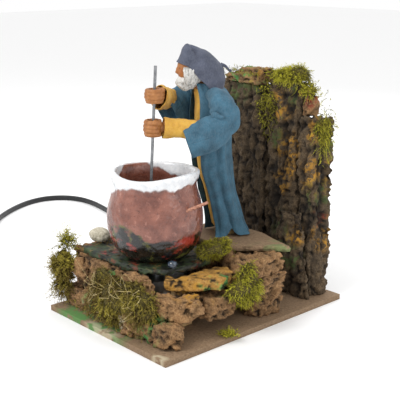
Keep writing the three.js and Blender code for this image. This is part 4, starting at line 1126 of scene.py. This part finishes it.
class FIGURE_OT_cauldron(bpy.types.Operator):
    """The clay cauldron with its thick white paint and its twig handle"""

    bl_idname = "figure.cauldron"
    bl_label = "Cauldron"

    def execute(self, context):
        colours = context.scene.figure_colours
        # A profile turned about the pot's axis, with the rim's wave and finger marks added.
        profile = np.array([(r, 0, h) for r, h in POT_PROFILE], float)
        rows, sides = 240, 420
        profile = spaced_evenly(curve_through(profile, 12), rows)
        angle = np.linspace(0, 2 * np.pi, sides, endpoint=False)
        radius, height = profile[:, 0][:, None], profile[:, 2][:, None]
        share = np.clip(height / 69, 0, 1)
        rise = height + rim_wave(angle)[None] * share**4
        ring = np.stack([radius * np.cos(angle), radius * np.sin(angle), rise], -1)
        points = (POT + ring).reshape(-1, 3)
        lip_row = int(np.argmax(profile[:, 2]))
        outside = (np.arange(rows) <= lip_row)[:, None] & np.ones((1, sides), bool)
        row = np.broadcast_to(np.arange(rows)[:, None], (rows, sides)).ravel()
        around = np.broadcast_to(angle, (rows, sides)).ravel()
        level = np.broadcast_to(rise, (rows, sides)).ravel()
        outside = outside.ravel()

        # Paint laps over the lip, thick, and runs down unevenly outside and far down inside.
        wander = layered(points, (13, 13, 30), 500) - 0.5
        fine = layered(points, 3.0, 505) - 0.5
        edge = 58.0 + 13 * wander + 1.6 * fine + 5.5 * np.cos(around - 0.45) ** 3
        edge = np.where(outside, edge, 56 + 16 * wander + 12 * np.cos(around - 3.0))
        paint = step_up(level, edge - 0.8, edge + 0.9)
        soot_edge = 24 + 15 * (layered(points, (14, 14, 12), 510, 3) - 0.5) * 2 + 5 * fine
        soot_edge = soot_edge + 6 * np.cos(around + 1.9)
        soot = step_up(level, soot_edge + 1.6, soot_edge - 1.6) * outside
        lumps = 1.5 * (layered(points, (14, 14, 10), 520) - 0.5)
        lumps = lumps + 0.6 * (layered(points, 2.4, 523, 3) - 0.5) * (1 - paint)
        moved = lumps + 0.9 * paint * (0.5 + layered(points, 9, 526, 2))
        spokes = np.stack([np.cos(around), np.sin(around), 0 * around], -1)
        direction = np.where(outside, 1.0, -0.6)
        lip = np.exp(-(((row - lip_row) / rows) ** 2) / 0.0012)
        points = points + spokes * (moved * direction)[:, None] * (level > 4)[:, None]
        points[:, 2] += 0.5 * lip * paint * (level > 50)
        pot = mesh_object(
            "cauldron_skin",
            points,
            grid_faces(rows, sides, wrap=True),
            {"paint": paint, "soot": soot, "inside": (~outside).astype(float)},
        )

        def colour_of(sh):
            place = sh.place()
            base = sh.mixed(sh.remap(sh.noise(place, 11, 5), 0.3, 0.7), rgb("5E3227"), colours.copper)
            worn = sh.group(patch_group(), Vector=place, Scale=210.0, Level=0.58).outputs[0]
            base = sh.mixed(sh.maths("MULTIPLY", worn, 0.4), base, rgb("B98474"))
            dark = sh.group(patch_group(), Vector=place, Scale=330.0, Level=0.61).outputs[0]
            base = sh.mixed(sh.maths("MULTIPLY", dark, 0.75), base, rgb("432620"))
            red = sh.group(patch_group(), Vector=sh.stretched(place, (0.8, 0.8, 1.3)), Scale=34.0, Level=0.52)
            squat = sh.stretched(place, (1.0, 1.0, 0.8))
            olive = sh.group(patch_group(), Vector=squat, Scale=47.0, Level=0.55)
            burnt = sh.mixed(red.outputs[0], colours.soot, colours.red)
            burnt = sh.mixed(sh.maths("MULTIPLY", olive.outputs[0], 0.7), burnt, rgb("6A6A2C"))
            mixed = sh.mixed(sh.attribute("soot"), base, burnt)
            white = sh.mixed(sh.remap(sh.noise(place, 5, 4), 0.35, 0.7), rgb("D3D6DA"), colours.white)
            return sh.mixed(sh.attribute("paint"), mixed, white)

        glaze = new_material(
            "copper_brown_glaze",
            colour_of,
            lambda sh: sh.remap(sh.noise(sh.place(), 2.5, 4), 0.3, 0.7, 0.2, 0.42),
            lambda sh: sh.bump(
                sh.maths(
                    "MULTIPLY",
                    sh.noise(sh.place(), 2.2, 5),
                    sh.remap(sh.attribute("paint"), 0.0, 1.0, 1.0, 0.15),
                ),
                0.35,
                0.5,
            ),
            Coat_Weight=0.5,
            Coat_Roughness=0.12,
        )
        settle(pot, glaze, replaces=["cauldron_shell"])
        handle = rebuilt("twig_handle", ["cauldron_handle"], 0.3, 4)
        points, normals = points_of(handle)
        bark = layered(points, (1.0, 1.0, 3.0), 531, 3) - 0.5
        set_points(handle, points + normals * (0.5 * bark)[:, None])
        twig = new_material(
            "glazed_twig",
            mottled(1.5, "7C4A3A", "C58F74", 4, low=0.35, high=0.65),
            0.4,
            fine_bump(0.7, 0.4, 0.3),
        )
        settle(handle, twig, replaces=["cauldron_handle"])
        return {"FINISHED"}


HIDDEN_FINISHES = (
    ("zinc_plate", ("motor_can", "motor_cover"), "B9BCC0", "D6D8DB", 0.35, 1.0),
    (
        "turned_steel",
        ("motor_screw_right", "motor_screw_left", "output_shaft", "crank_grub_screw", "shoulder_wire"),
        "8B8D90", "B5B7BA", 0.3, 1.0,
    ),
    ("brass_bush", ("shaft_bush",), "A9803A", "D1AE63", 0.3, 1.0),
    ("enamelled_copper", ("motor_coil",), "8A3E1C", "C26A34", 0.35, 1.0),
    ("pine_post", ("motor_post_right", "motor_post_left"), "B98F5C", "DDBB87", 0.7, 0.0),
    ("white_nylon", ("crank_arm",), "D5D5D0", "F0F0EC", 0.45, 0.0),
    ("hemp_tow", ("body_core",), "7A6642", "B7A071", 0.95, 0.0),
)


class FIGURE_OT_drive(bpy.types.Operator):
    """The hidden motor with its crank, and the bright stirring rod"""

    bl_idname = "figure.drive"
    bl_label = "Drive"

    def execute(self, context):
        for name, nodes, dark, light, rough, metal in HIDDEN_FINISHES:
            material = new_material(
                name,
                mottled(4, dark, light),
                rough,
                fine_bump(0.6, 0.2, 0.15),
                Metallic=metal,
            )
            for node in nodes:
                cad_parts[node].data.materials.clear()
                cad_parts[node].data.materials.append(material)

        wire = new_material(
            "drawn_steel",
            mottled(3, "6E7073", "9B9DA0", 4),
            lambda sh: sh.remap(sh.noise(sh.place(), 1.2, 4), 0.3, 0.7, 0.28, 0.46),
            lambda sh: sh.bump(sh.noise(sh.stretched(sh.place(), (1, 1, 0.1)), 0.5, 3), 0.2, 0.1),
            Metallic=0.9,
        )
        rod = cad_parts["stirring_rod"]
        rod.data.materials.clear()
        rod.data.materials.append(wire)
        return {"FINISHED"}


# ---------------------------------------------------------------- the man
PLANK = 60.0
FORWARDS = np.array([-0.34014, -0.94038, 0.0])
SIDEWAYS = np.array([0.94038, -0.34014, 0.0])
UP = np.array([0.0, 0.0, 1.0])
HEAD = np.array([-1.4, -6.6, 202.0])
FACING = np.array([-0.45399, -0.89101, 0.0])
EAR = np.array([0.89101, -0.45399, 0.0])

# Height above the plank, middle of the coat there, half its width and half its depth.
COAT_ROWS = (
    (1.2, 4, 31, 17.0, 15.5),
    (12, 3.5, 28.5, 15.2, 14),
    (35, 2, 22.5, 14, 13.5),
    (60, 1.5, 16, 15, 15.0),
    (85, 2.5, 13, 16.5, 15.5),
    (105, 4, 12, 17.5, 16.5),
    (115, 4, 11.8, 16.5, 16),
    (122, 3.6, 10.4, 13.6, 14.4),
    (127, 3, 8, 10.6, 12.2),
    (131, 2.2, 5.2, 7.6, 9.0),
)


COAT_OPENING = (36, 324)  # degrees from the front at which the coat's two front edges hang


def smooth_rows(rows, count):
    """Rows of numbers made into many, evenly spread along a smooth curve through them."""
    rows = np.asarray(rows, float)
    share = np.linspace(0, len(rows) - 1, count)
    cell = np.clip(share.astype(int), 0, len(rows) - 2)
    t = (share - cell)[:, None]
    before = rows[np.maximum(cell - 1, 0)]
    a, b = rows[cell], rows[cell + 1]
    after = rows[np.minimum(cell + 2, len(rows) - 1)]
    cubic = 3 * (a - b) + after - before
    square = 2 * before - 5 * a + 4 * b - after
    return a + 0.5 * t * (b - before + t * (square + t * cubic))


def cloth_uv(points):
    """Cloth measured along and across the grid, in metres, so that the weave has one pitch everywhere."""
    rows, columns = points.shape[:2]
    across = np.linalg.norm(np.diff(points, axis=1), axis=2).mean(1)
    along = np.linalg.norm(np.diff(points, axis=0), axis=2).mean(1)
    v = np.concatenate([[0], np.cumsum(along)])[:, None] + np.zeros((1, columns))
    u = np.arange(columns)[None] * across.mean() + np.zeros((rows, 1))
    return np.stack([u, v], -1).reshape(-1, 2) * MM


def cloth_piece(name, points, material, thickness, wrap=False, attributes=None):
    """A sheet of cloth from a grid of points, given its thickness on both sides of them."""
    rows, columns = points.shape[:2]
    obj = mesh_object(
        name,
        points.reshape(-1, 3),
        grid_faces(rows, columns, wrap),
        attributes,
        uv=cloth_uv(points),
    )
    thick = obj.modifiers.new("thickness", "SOLIDIFY")
    thick.thickness = thickness
    thick.offset = 0
    obj.data.materials.append(material)
    return obj


def ring_cloth(rows, start, finish, count, sides, folds):
    """Level oval rings through the rows, open between two angles from the front; folds push out or in.
    Point = middle + sideways times width times sine + forwards times depth times cosine."""
    rows = smooth_rows(rows, count)
    angle = np.linspace(np.radians(start), np.radians(finish), sides)[None, :]
    share = np.linspace(0, 1, count)[:, None]
    push = folds(share, angle)
    wide = rows[:, 3][:, None] + push
    deep = rows[:, 4][:, None] + push
    middle = np.stack([rows[:, 1], rows[:, 2], PLANK + rows[:, 0]], -1)[:, None]
    sine = (wide * np.sin(angle))[..., None] * SIDEWAYS
    return middle + sine + (deep * np.cos(angle))[..., None] * FORWARDS


def tube_cloth(rows, count, sides, start=0.0, finish=360.0):
    """Oval rings carried along an arm: across keeps to the man's sideways, high stands square to both."""
    flat = [[*point, wide, high] for point, wide, high in rows]
    rows = smooth_rows(flat, count)
    path = rows[:, :3]
    ahead = np.gradient(path, axis=0)
    ahead /= np.linalg.norm(ahead, axis=1, keepdims=True)
    across = SIDEWAYS - (ahead @ SIDEWAYS)[:, None] * ahead
    across /= np.linalg.norm(across, axis=1, keepdims=True)
    upward = np.cross(across, ahead)
    angle = np.linspace(np.radians(start), np.radians(finish), sides)[None, :, None]
    ring = np.cos(angle) * across[:, None] * rows[:, 3][:, None, None]
    return path[:, None] + ring + np.sin(angle) * upward[:, None] * rows[:, 4][:, None, None]


def creased(points, size, depth, seed, share=1.0):
    """Moves a grid along its normals: sharp ridges where soft noise crosses its middle, plus finer noise."""
    along = np.gradient(points, axis=0)
    around = np.gradient(points, axis=1)
    normal = np.cross(around, along)
    normal /= np.maximum(np.linalg.norm(normal, axis=2, keepdims=True), 1e-9)
    flat = points.reshape(-1, 3)
    ridge = 1 - np.abs(2 * layered(flat, size, seed, 2) - 1) * 2
    small = layered(flat, np.asarray(size) * 0.4, seed + 4, 2) - 0.5
    push = (ridge * 0.7 + small * 0.35).reshape(points.shape[:2]) * depth * share
    return points + normal * push[..., None]


class FIGURE_OT_coat(bpy.types.Operator):
    """The mustard tunic and the open teal coat over it"""

    bl_idname = "figure.coat"
    bl_label = "Coat and tunic"

    def execute(self, context):
        sizes = context.scene.figure_sizes
        colours = context.scene.figure_colours
        thread = sizes.thread
        teal = cloth_material("teal_cotton", colours.coat, thread, rgb("2B4D5F"))
        mustard = cloth_material("mustard_cotton", colours.tunic, thread, rgb("B8862C"))

        def coat_folds(share, angle):
            low = (1 - share) ** 1.3
            wave = np.sin(7 * angle + 3.0 * share + 0.5) + 0.6 * np.sin(11 * angle - 2 * share + 2)
            edge = sum(np.exp(-((angle - np.radians(side)) ** 2) / 0.05) for side in COAT_OPENING)
            return (0.35 + 1.35 * low) * wave * 0.8 + 2.2 * edge * low + 1.0 * edge * (1 - low)

        rows, sides = 150, 260
        coat = ring_cloth(COAT_ROWS, *COAT_OPENING, rows, sides, coat_folds)
        turn = np.linspace(0, 1, sides)[None]
        # The hem: a flap turned up and out beside the front edge, a notch behind it, a point at the back.
        lift = 6.0 * np.exp(-((turn - 0.15) ** 2) / 0.0022) + 3.0 * np.exp(-((turn - 0.62) ** 2) / 0.01)
        lowest = (1 - np.linspace(0, 1, rows)[:, None]) ** 9
        coat[..., 2] += lift * lowest
        flap = np.exp(-(turn**2) / 0.008) * lowest
        tip = np.exp(-((turn - 0.33) ** 2) / 0.003) * lowest
        coat = coat + flap[..., None] * (5.0 * SIDEWAYS + 5.0 * FORWARDS)
        coat = coat + tip[..., None] * (4 * SIDEWAYS - 3 * FORWARDS)
        coat = creased(coat, (9, 9, 34), 1.3, 600)
        coat[..., 2] = np.maximum(coat[..., 2], PLANK + 0.5)
        obj = cloth_piece("coat_cloth", coat, teal, sizes.cloth)
        settle(obj, teal, replaces=["coat"])

        inner = []
        for rise, x, y, wide, deep in COAT_ROWS:
            inside = 3.2 if rise < 118 else 1.7
            inner.append([max(rise, 8.0), x, y, wide - inside, deep - inside])

        def tunic_folds(share, angle):
            return (0.3 + 0.6 * (1 - share)) * np.sin(9 * angle + 2 * share) * 0.8

        tunic = creased(ring_cloth(inner, 0, 360, 110, 200, tunic_folds), (7, 7, 24), 0.6, 610)
        obj = cloth_piece("tunic_cloth", tunic, mustard, sizes.cloth)
        settle(obj, mustard, replaces=["tunic"])
        return {"FINISHED"}


COAT_SLEEVES = {
    "left": (
        ((15.0, 4.6, 182.0), 6.2, 7.6),
        ((24.2, 1.2, 180.4), 8.2, 8.8),
        ((28.6, 1.4, 174.5), 8.2, 10.4),
        ((30.8, 2.6, 165), 7.6, 12),
        ((25, -9, 154), 8.6, 14),
        ((14, -24, 147.5), 9.0, 14.6),
    ),
    "right": (
        ((-9.5, 13.0, 181), 6.0, 8.0),
        ((-17, 13, 180), 6.4, 9),
        ((-22.5, 5, 175.5), 7, 12.5),
        ((-25, -2, 169), 8.2, 18),
        ((-23, -12, 164), 9.3, 22.5),
    ),
}
TUNIC_SLEEVES = {
    "left": (
        ((21.2, -13.4, 158), 4.8, 7.0),
        ((17.4, -18.2, 158), 5.2, 7.6),
        ((11.2, -28.0, 158.8), 6.0, 8.0),
        ((4.6, -40.4, 160), 6.0, 8.4),
    ),
    "right": (
        ((-24.5, -6, 177), 5.4, 7.6),
        ((-21, -15, 177.5), 6.4, 8.8),
        ((-14.5, -24.5, 179.5), 7.0, 9.8),
        ((-6.0, -35.5, 182), 7.0, 9.8),
    ),
}
GRIPS = {"left": (160.0, 13.0, (30.5, 5.0, 164.0)), "right": (185.0, 11.0, (-25.0, -7.0, 176.0))}
ROD_THROW = 7.1  # how far the crank carries the rod's foot from the pot's axis
ROD_APEX = 172.0  # height at which the rod crosses that axis


def rod_at(height):
    """The rod's axis at a height: it leans from the crank's throw to its apex."""
    foot = node_box("stirring_rod")[0][2]
    share = (height - foot) / (ROD_APEX - foot)
    return np.array([POT[0], POT[1] - ROD_THROW * (1 - share), height])


class FIGURE_OT_arms(bpy.types.Operator):
    """Both arms: fists round the rod, mustard sleeves and wide teal sleeves"""

    bl_idname = "figure.arms"
    bl_label = "Arms"

    def execute(self, context):
        sizes = context.scene.figure_sizes
        teal = bpy.data.materials["teal_cotton"]
        mustard = bpy.data.materials["mustard_cotton"]
        skin = bpy.data.materials["painted_clay_skin"]
        for seed, side in enumerate(("left", "right")):
            body = "arm_" + side
            rows, sides = 110, 130
            sleeve = tube_cloth(COAT_SLEEVES[side], rows, sides)
            fade = step_up(np.linspace(0, 1, rows)[:, None], 0.0, 0.2)
            share = np.linspace(0, 1, rows)[:, None]
            turn = np.linspace(0, 2 * np.pi, sides)[None]
            # The crook of the elbow gathers into folds that die out round the back and towards both ends.
            gather = np.sin(34 * share + 1.6 * np.cos(turn)) * np.exp(-(((share - 0.52) / 0.2) ** 2))
            gather = gather * (0.45 - 0.55 * np.sin(turn)) * 1.3
            middle = sleeve.mean(1, keepdims=True)
            away = sleeve - middle
            away /= np.linalg.norm(away, axis=2, keepdims=True)
            sleeve = sleeve + away * gather[..., None]
            sleeve = creased(sleeve, (11, 11, 16), 1.7, 640 + 9 * seed, fade)
            obj = cloth_piece(f"coat_sleeve_{side}_cloth", sleeve, teal, sizes.cloth)
            settle(obj, teal, body, ["coat_sleeve_" + side])

            cuff = tube_cloth(TUNIC_SLEEVES[side], 80, 110)
            cuff = creased(cuff, (8, 8, 10), 1.5, 660 + 9 * seed)
            obj = cloth_piece(f"tunic_sleeve_{side}_cloth", cuff, mustard, sizes.cloth)
            settle(obj, mustard, body, ["tunic_sleeve_" + side])

            self.fist(side, body, skin, sizes.finger / MM)
        return {"FINISHED"}

    def fist(self, side, body, skin, radius):
        """Four bent fingers and a thumb, each a bent tube, over the palm, all under one skin."""
        height, tall, elbow = GRIPS[side]
        grip = rod_at(height)
        back = (np.array(elbow) - grip) * (1, 1, 0)
        back /= np.linalg.norm(back)
        aside = np.array([-back[1], back[0], 0.0])
        pieces = []
        pitch = (tall - 1.5) / 4
        for finger in range(4):
            bend = np.linspace(np.radians(25), np.radians(318 - 9 * finger), 30)
            thick = radius * (0.82, 1.0, 1.0, 0.86)[finger]
            ring = 4.2 + thick * 0.98
            line = grip + ring * (np.cos(bend)[:, None] * back + np.sin(bend)[:, None] * aside)
            line[:, 2] += (finger - 1.5) * pitch + 0.4 * np.sin(bend)
            tips = thick * np.sqrt(np.clip(1 - np.linspace(-1, 1, 30) ** 16, 0.05, 1))
            pieces.append(closed_tube(f"finger_{side}_{finger}", tube_points(line, tips, tips, 12)))
        bend = np.linspace(np.radians(-8), np.radians(-105), 20)
        line = grip + (5.9 + 0.4 * np.sin(3 * bend))[:, None] * (
            np.cos(bend)[:, None] * back + np.sin(bend)[:, None] * aside
        )
        line[:, 2] += np.linspace(-1.0, 1.5, 20) + tall * 0.3
        tips = 1.25 * radius * np.sqrt(np.clip(1 - np.linspace(-1, 1, 20) ** 12, 0.05, 1))
        pieces.append(closed_tube(f"thumb_{side}", tube_points(line, tips, tips, 12)))
        line = grip + np.linspace(6.2, 17, 20)[:, None] * back
        wide = np.interp(np.linspace(0, 1, 20), (0, 0.3, 1), (2.6, 3.6, 3.2))
        pieces.append(closed_tube(f"palm_{side}", tube_points(line, wide, wide * 1.45, 20)))
        hand = rebuilt(f"hand_{side}_skin", pieces + ["arm_and_hand_" + side], 0.34, 3)
        points, normals = points_of(hand)
        dents = layered(points, 2.6, 680, 3) - 0.5
        set_points(hand, points + normals * (0.3 * dents)[:, None])
        settle(hand, skin, body, ["arm_and_hand_" + side])


def head_sphere(rows, columns):
    """Directions of a sphere in the head's own frame: ahead, to the ear, up."""
    tilt = np.linspace(1e-3, np.pi - 1e-3, rows)[:, None]
    turn = np.linspace(0, 2 * np.pi, columns, endpoint=False)[None]
    ahead = np.sin(tilt) * np.cos(turn)
    ear = np.sin(tilt) * np.sin(turn)
    return ahead, ear, np.cos(tilt) + 0 * turn


def on_head(ahead, ear, up):
    """Head-frame millimetres put in place."""
    return HEAD + ahead[..., None] * FACING + ear[..., None] * EAR + up[..., None] * UP


def near(ahead, ear, up, at, width):
    """A soft round bump of directions about one direction."""
    at = np.array(at) / np.linalg.norm(at)
    dot = ahead * at[0] + ear * at[1] + up * at[2]
    return np.exp((dot - 1) / width**2)


class FIGURE_OT_head(bpy.types.Operator):
    """The painted clay head with its white relief hair and beard"""

    bl_idname = "figure.head"
    bl_label = "Head"

    def execute(self, context):
        colours = context.scene.figure_colours
        rows, columns = 260, 360
        a, e, u = head_sphere(rows, columns)
        swell = 1.0 + 0.20 * near(a, e, u, (1, 0, -0.12), 0.085) + 0.10 * near(a, e, u, (1, 0, 0.08), 0.07)
        for side in (-1, 1):
            swell = swell - 0.085 * near(a, e, u, (1, 0.36 * side, 0.14), 0.11)
            swell = swell + 0.055 * near(a, e, u, (1, 0.36 * side, 0.12), 0.055)
            swell = swell + 0.05 * near(a, e, u, (1, 0.34 * side, 0.34), 0.12)
            swell = swell + 0.06 * near(a, e, u, (1, 0.5 * side, -0.16), 0.15)
            swell = swell + 0.07 * near(a, e, u, (-0.05, side, -0.02), 0.1)
        swell = swell + 0.05 * near(a, e, u, (1, 0, 0.34), 0.16)
        points = on_head(10.3 * a * swell, 8.6 * e * swell, 12.3 * u * swell)
        lid = near(a, e, u, (1, 0.36, 0.13), 0.03) + near(a, e, u, (1, -0.36, 0.13), 0.03)
        blush = near(a, e, u, (1, 0.5, -0.16), 0.2) + near(a, e, u, (1, -0.5, -0.16), 0.2)
        face = mesh_object(
            "head_skin",
            points.reshape(-1, 3),
            grid_faces(rows, columns, wrap=True),
            {"lid": np.clip(lid.ravel(), 0, 1), "blush": np.clip(blush.ravel(), 0, 1)},
        )
        neck = [[2.4, 3.4, 184.0], [1.0, 0.5, 190.0], [-0.5, -3.0, 196.0]]
        neck = closed_tube("neck", tube_points(curve_through(np.array(neck), 12), 4.6, 4.9, 32, up=(1, 0, 0)))

        def skin_colour(sh):
            place = sh.place()
            tone = sh.mixed(sh.remap(sh.noise(place, 4, 5), 0.3, 0.7), rgb("86501F"), colours.skin)
            tone = sh.mixed(sh.maths("MULTIPLY", sh.attribute("blush"), 0.35), tone, rgb("A85C34"))
            return sh.mixed(sh.maths("MULTIPLY", sh.attribute("lid"), 0.8), tone, rgb("2E1C12"))

        skin = new_material("painted_clay_skin", skin_colour, 0.55, fine_bump(0.9, 0.25, 0.25))
        settle(facing_out(face), skin, replaces=["head"])
        settle(facing_out(neck), skin)

        # Hair and beard: a thicker skin round the head that sinks under the face and swells at the chin.
        side = np.abs(e)
        front = step_up(a - 0.95 * side + 0.10, 0.0, 0.22)
        mouth = step_up(u, -0.62, -0.34)
        open_face = front * mouth * step_up(u, 1.2, 0.7)
        bulk = 1.17 + 0.40 * near(a, e, u, (0.6, 0, -0.9), 0.34) + 0.14 * near(a, e, u, (0.9, 0, -0.5), 0.2)
        flow = np.stack([a, e, u], -1).reshape(-1, 3) * 10
        locks = (layered(flow, (1.1, 1.1, 4.0), 700, 4) - 0.5).reshape(rows, columns)
        curls = (layered(flow, 1.3, 707, 3) - 0.5).reshape(rows, columns)
        bulk = (bulk + 0.26 * locks + 0.14 * curls) * (1 - 0.35 * open_face)
        bulk = np.minimum(bulk, 1.5 - 0.5 * step_up(u, -0.1, 0.25))
        points = on_head(10.1 * a * bulk, 8.6 * e * bulk, 12.0 * u * bulk)
        # Painted shade: the hollows between the locks and curls are darkened.
        dark = np.clip(-3.2 * locks - 1.2 * curls, 0, 1)
        hair = mesh_object(
            "hair_and_beard_relief",
            points.reshape(-1, 3),
            grid_faces(rows, columns, wrap=True),
            {"hollow": dark.ravel()},
        )

        def hair_colour(sh):
            tone = sh.mixed(sh.remap(sh.noise(sh.place(), 1.2, 4), 0.3, 0.7), rgb("B9B7B2"), colours.hair)
            # Painted shade in the hollows of the relief.
            return sh.mixed(sh.maths("MULTIPLY", sh.attribute("hollow"), 0.75), tone, rgb("6F6A63"))

        white = new_material("white_relief_hair", hair_colour, 0.6, fine_bump(0.5, 0.4, 0.3))
        settle(facing_out(hair), white, replaces=["hair_and_beard"])
        return {"FINISHED"}


# The hood as arches from ear to ear: foot ahead, foot up, top ahead, top up and half width.
HOOD_ROWS = (
    (1.0, 2.5, 10.3, 6.2, 9.3),
    (-0.5, -1.0, 8.6, 11.5, 10.0),
    (-2.5, -4.0, 6.0, 18.0, 10.6),
    (-4.5, -6.5, 2.2, 20.6, 11.2),
    (-7.5, -9.0, -4.0, 18.6, 11.9),
    (-10.5, -12.0, -9.6, 16.6, 12.6),
    (-14.5, -16.5, -15.5, 13.8, 12.8),
    (-19.0, -21.5, -22.0, 8.0, 11.4),
    (-22.6, -25.3, -27.4, 0.5, 8.2),
    (-24.0, -24.8, -29.4, -8.0, 4.2),
    (-24.6, -24.0, -28.6, -14.0, 0.8),
)


class FIGURE_OT_hood(bpy.types.Operator):
    """The slate grey pointed hood with its turned brim, creased peak and tail"""

    bl_idname = "figure.hood"
    bl_label = "Hood"

    def execute(self, context):
        sizes = context.scene.figure_sizes
        colours = context.scene.figure_colours
        slate = cloth_material("slate_cotton", colours.hood, sizes.thread, rgb("3C4150"))
        count, sides = 130, 150
        rows = smooth_rows(HOOD_ROWS, count)
        angle = np.linspace(0, np.pi, sides)[None]
        arch = np.sin(angle) ** 0.85
        share = np.linspace(0, 1, count)[:, None]
        narrow = 1 - 0.25 * np.exp(-((share - 0.28) ** 2) / 0.012) * arch**2
        foot_a, foot_u, top_a, top_u, half = (rows[:, k][:, None] for k in range(5))
        ahead = foot_a + (top_a - foot_a) * arch
        up = foot_u + (top_u - foot_u) * arch
        ear = half * np.cos(angle) * narrow
        bent = share - 0.34 - 0.05 * np.cos(angle)
        slit = np.exp(-(bent**2) / 0.0005) * np.exp(-((angle - np.radians(66)) ** 2) / 0.12)
        up = up - 3.6 * slit
        points = creased(on_head(ahead, ear, up), (10, 10, 12), 1.1, 720)
        brim = np.exp(-(share**2) / 0.002)
        points = points + brim[..., None] * 0.8 * FACING
        obj = cloth_piece("hood_cloth", points, slate, sizes.cloth * 1.3)
        settle(obj, slate, replaces=["hood"])

        ear_line = np.array([[-25.5, 0.0, 3.4], [-29.5, 0.4, 1.6], [-32.0, 0.6, -1.0], [-34.2, 0.3, -2.4]])
        line = curve_through(ear_line, 10)
        line = on_head(line[:, 0], line[:, 1], line[:, 2])
        size = np.interp(np.linspace(0, 1, len(line)), (0, 0.7, 0.82, 0.95, 1), (1.5, 0.7, 1.15, 1.25, 0.4))
        tail = facing_out(closed_tube("hood_tail", tube_points(line, size, size, 20)))
        settle(tail, slate)
        return {"FINISHED"}


class FIGURE_PT_panel(bpy.types.Panel):
    """The buttons in the order in which the object is made."""

    bl_label = "Cauldron Stirring Figure"
    bl_idname = "FIGURE_PT_panel"
    bl_space_type = "VIEW_3D"
    bl_region_type = "UI"
    bl_category = "Figure"

    def draw(self, context):
        for owner, group in (("figure_sizes", FigureSizes), ("figure_colours", FigureColours)):
            box = self.layout.box()
            for key in group.__annotations__:
                box.prop(getattr(context.scene, owner), key)
        for operator in OPERATORS:
            self.layout.operator(operator.bl_idname)


OPERATORS = (
    FIGURE_OT_stage,
    FIGURE_OT_lead,
    FIGURE_OT_board,
    FIGURE_OT_cork,
    FIGURE_OT_bark,
    FIGURE_OT_stones,
    FIGURE_OT_moss,
    FIGURE_OT_cauldron,
    FIGURE_OT_drive,
    FIGURE_OT_coat,
    FIGURE_OT_head,
    FIGURE_OT_hood,
    FIGURE_OT_arms,
)
CLASSES = (FigureSizes, FigureColours) + OPERATORS + (FIGURE_PT_panel,)


def register():
    for cls in CLASSES:
        bpy.utils.register_class(cls)
    bpy.types.Scene.figure_sizes = bpy.props.PointerProperty(type=FigureSizes)
    bpy.types.Scene.figure_colours = bpy.props.PointerProperty(type=FigureColours)


def unregister():
    del bpy.types.Scene.figure_sizes
    del bpy.types.Scene.figure_colours
    for cls in reversed(CLASSES):
        bpy.utils.unregister_class(cls)


def main():
    register()
    for operator in OPERATORS:
        group, name = operator.bl_idname.split(".")
        getattr(getattr(bpy.ops, group), name)()


if __name__ == "__main__":
    main()
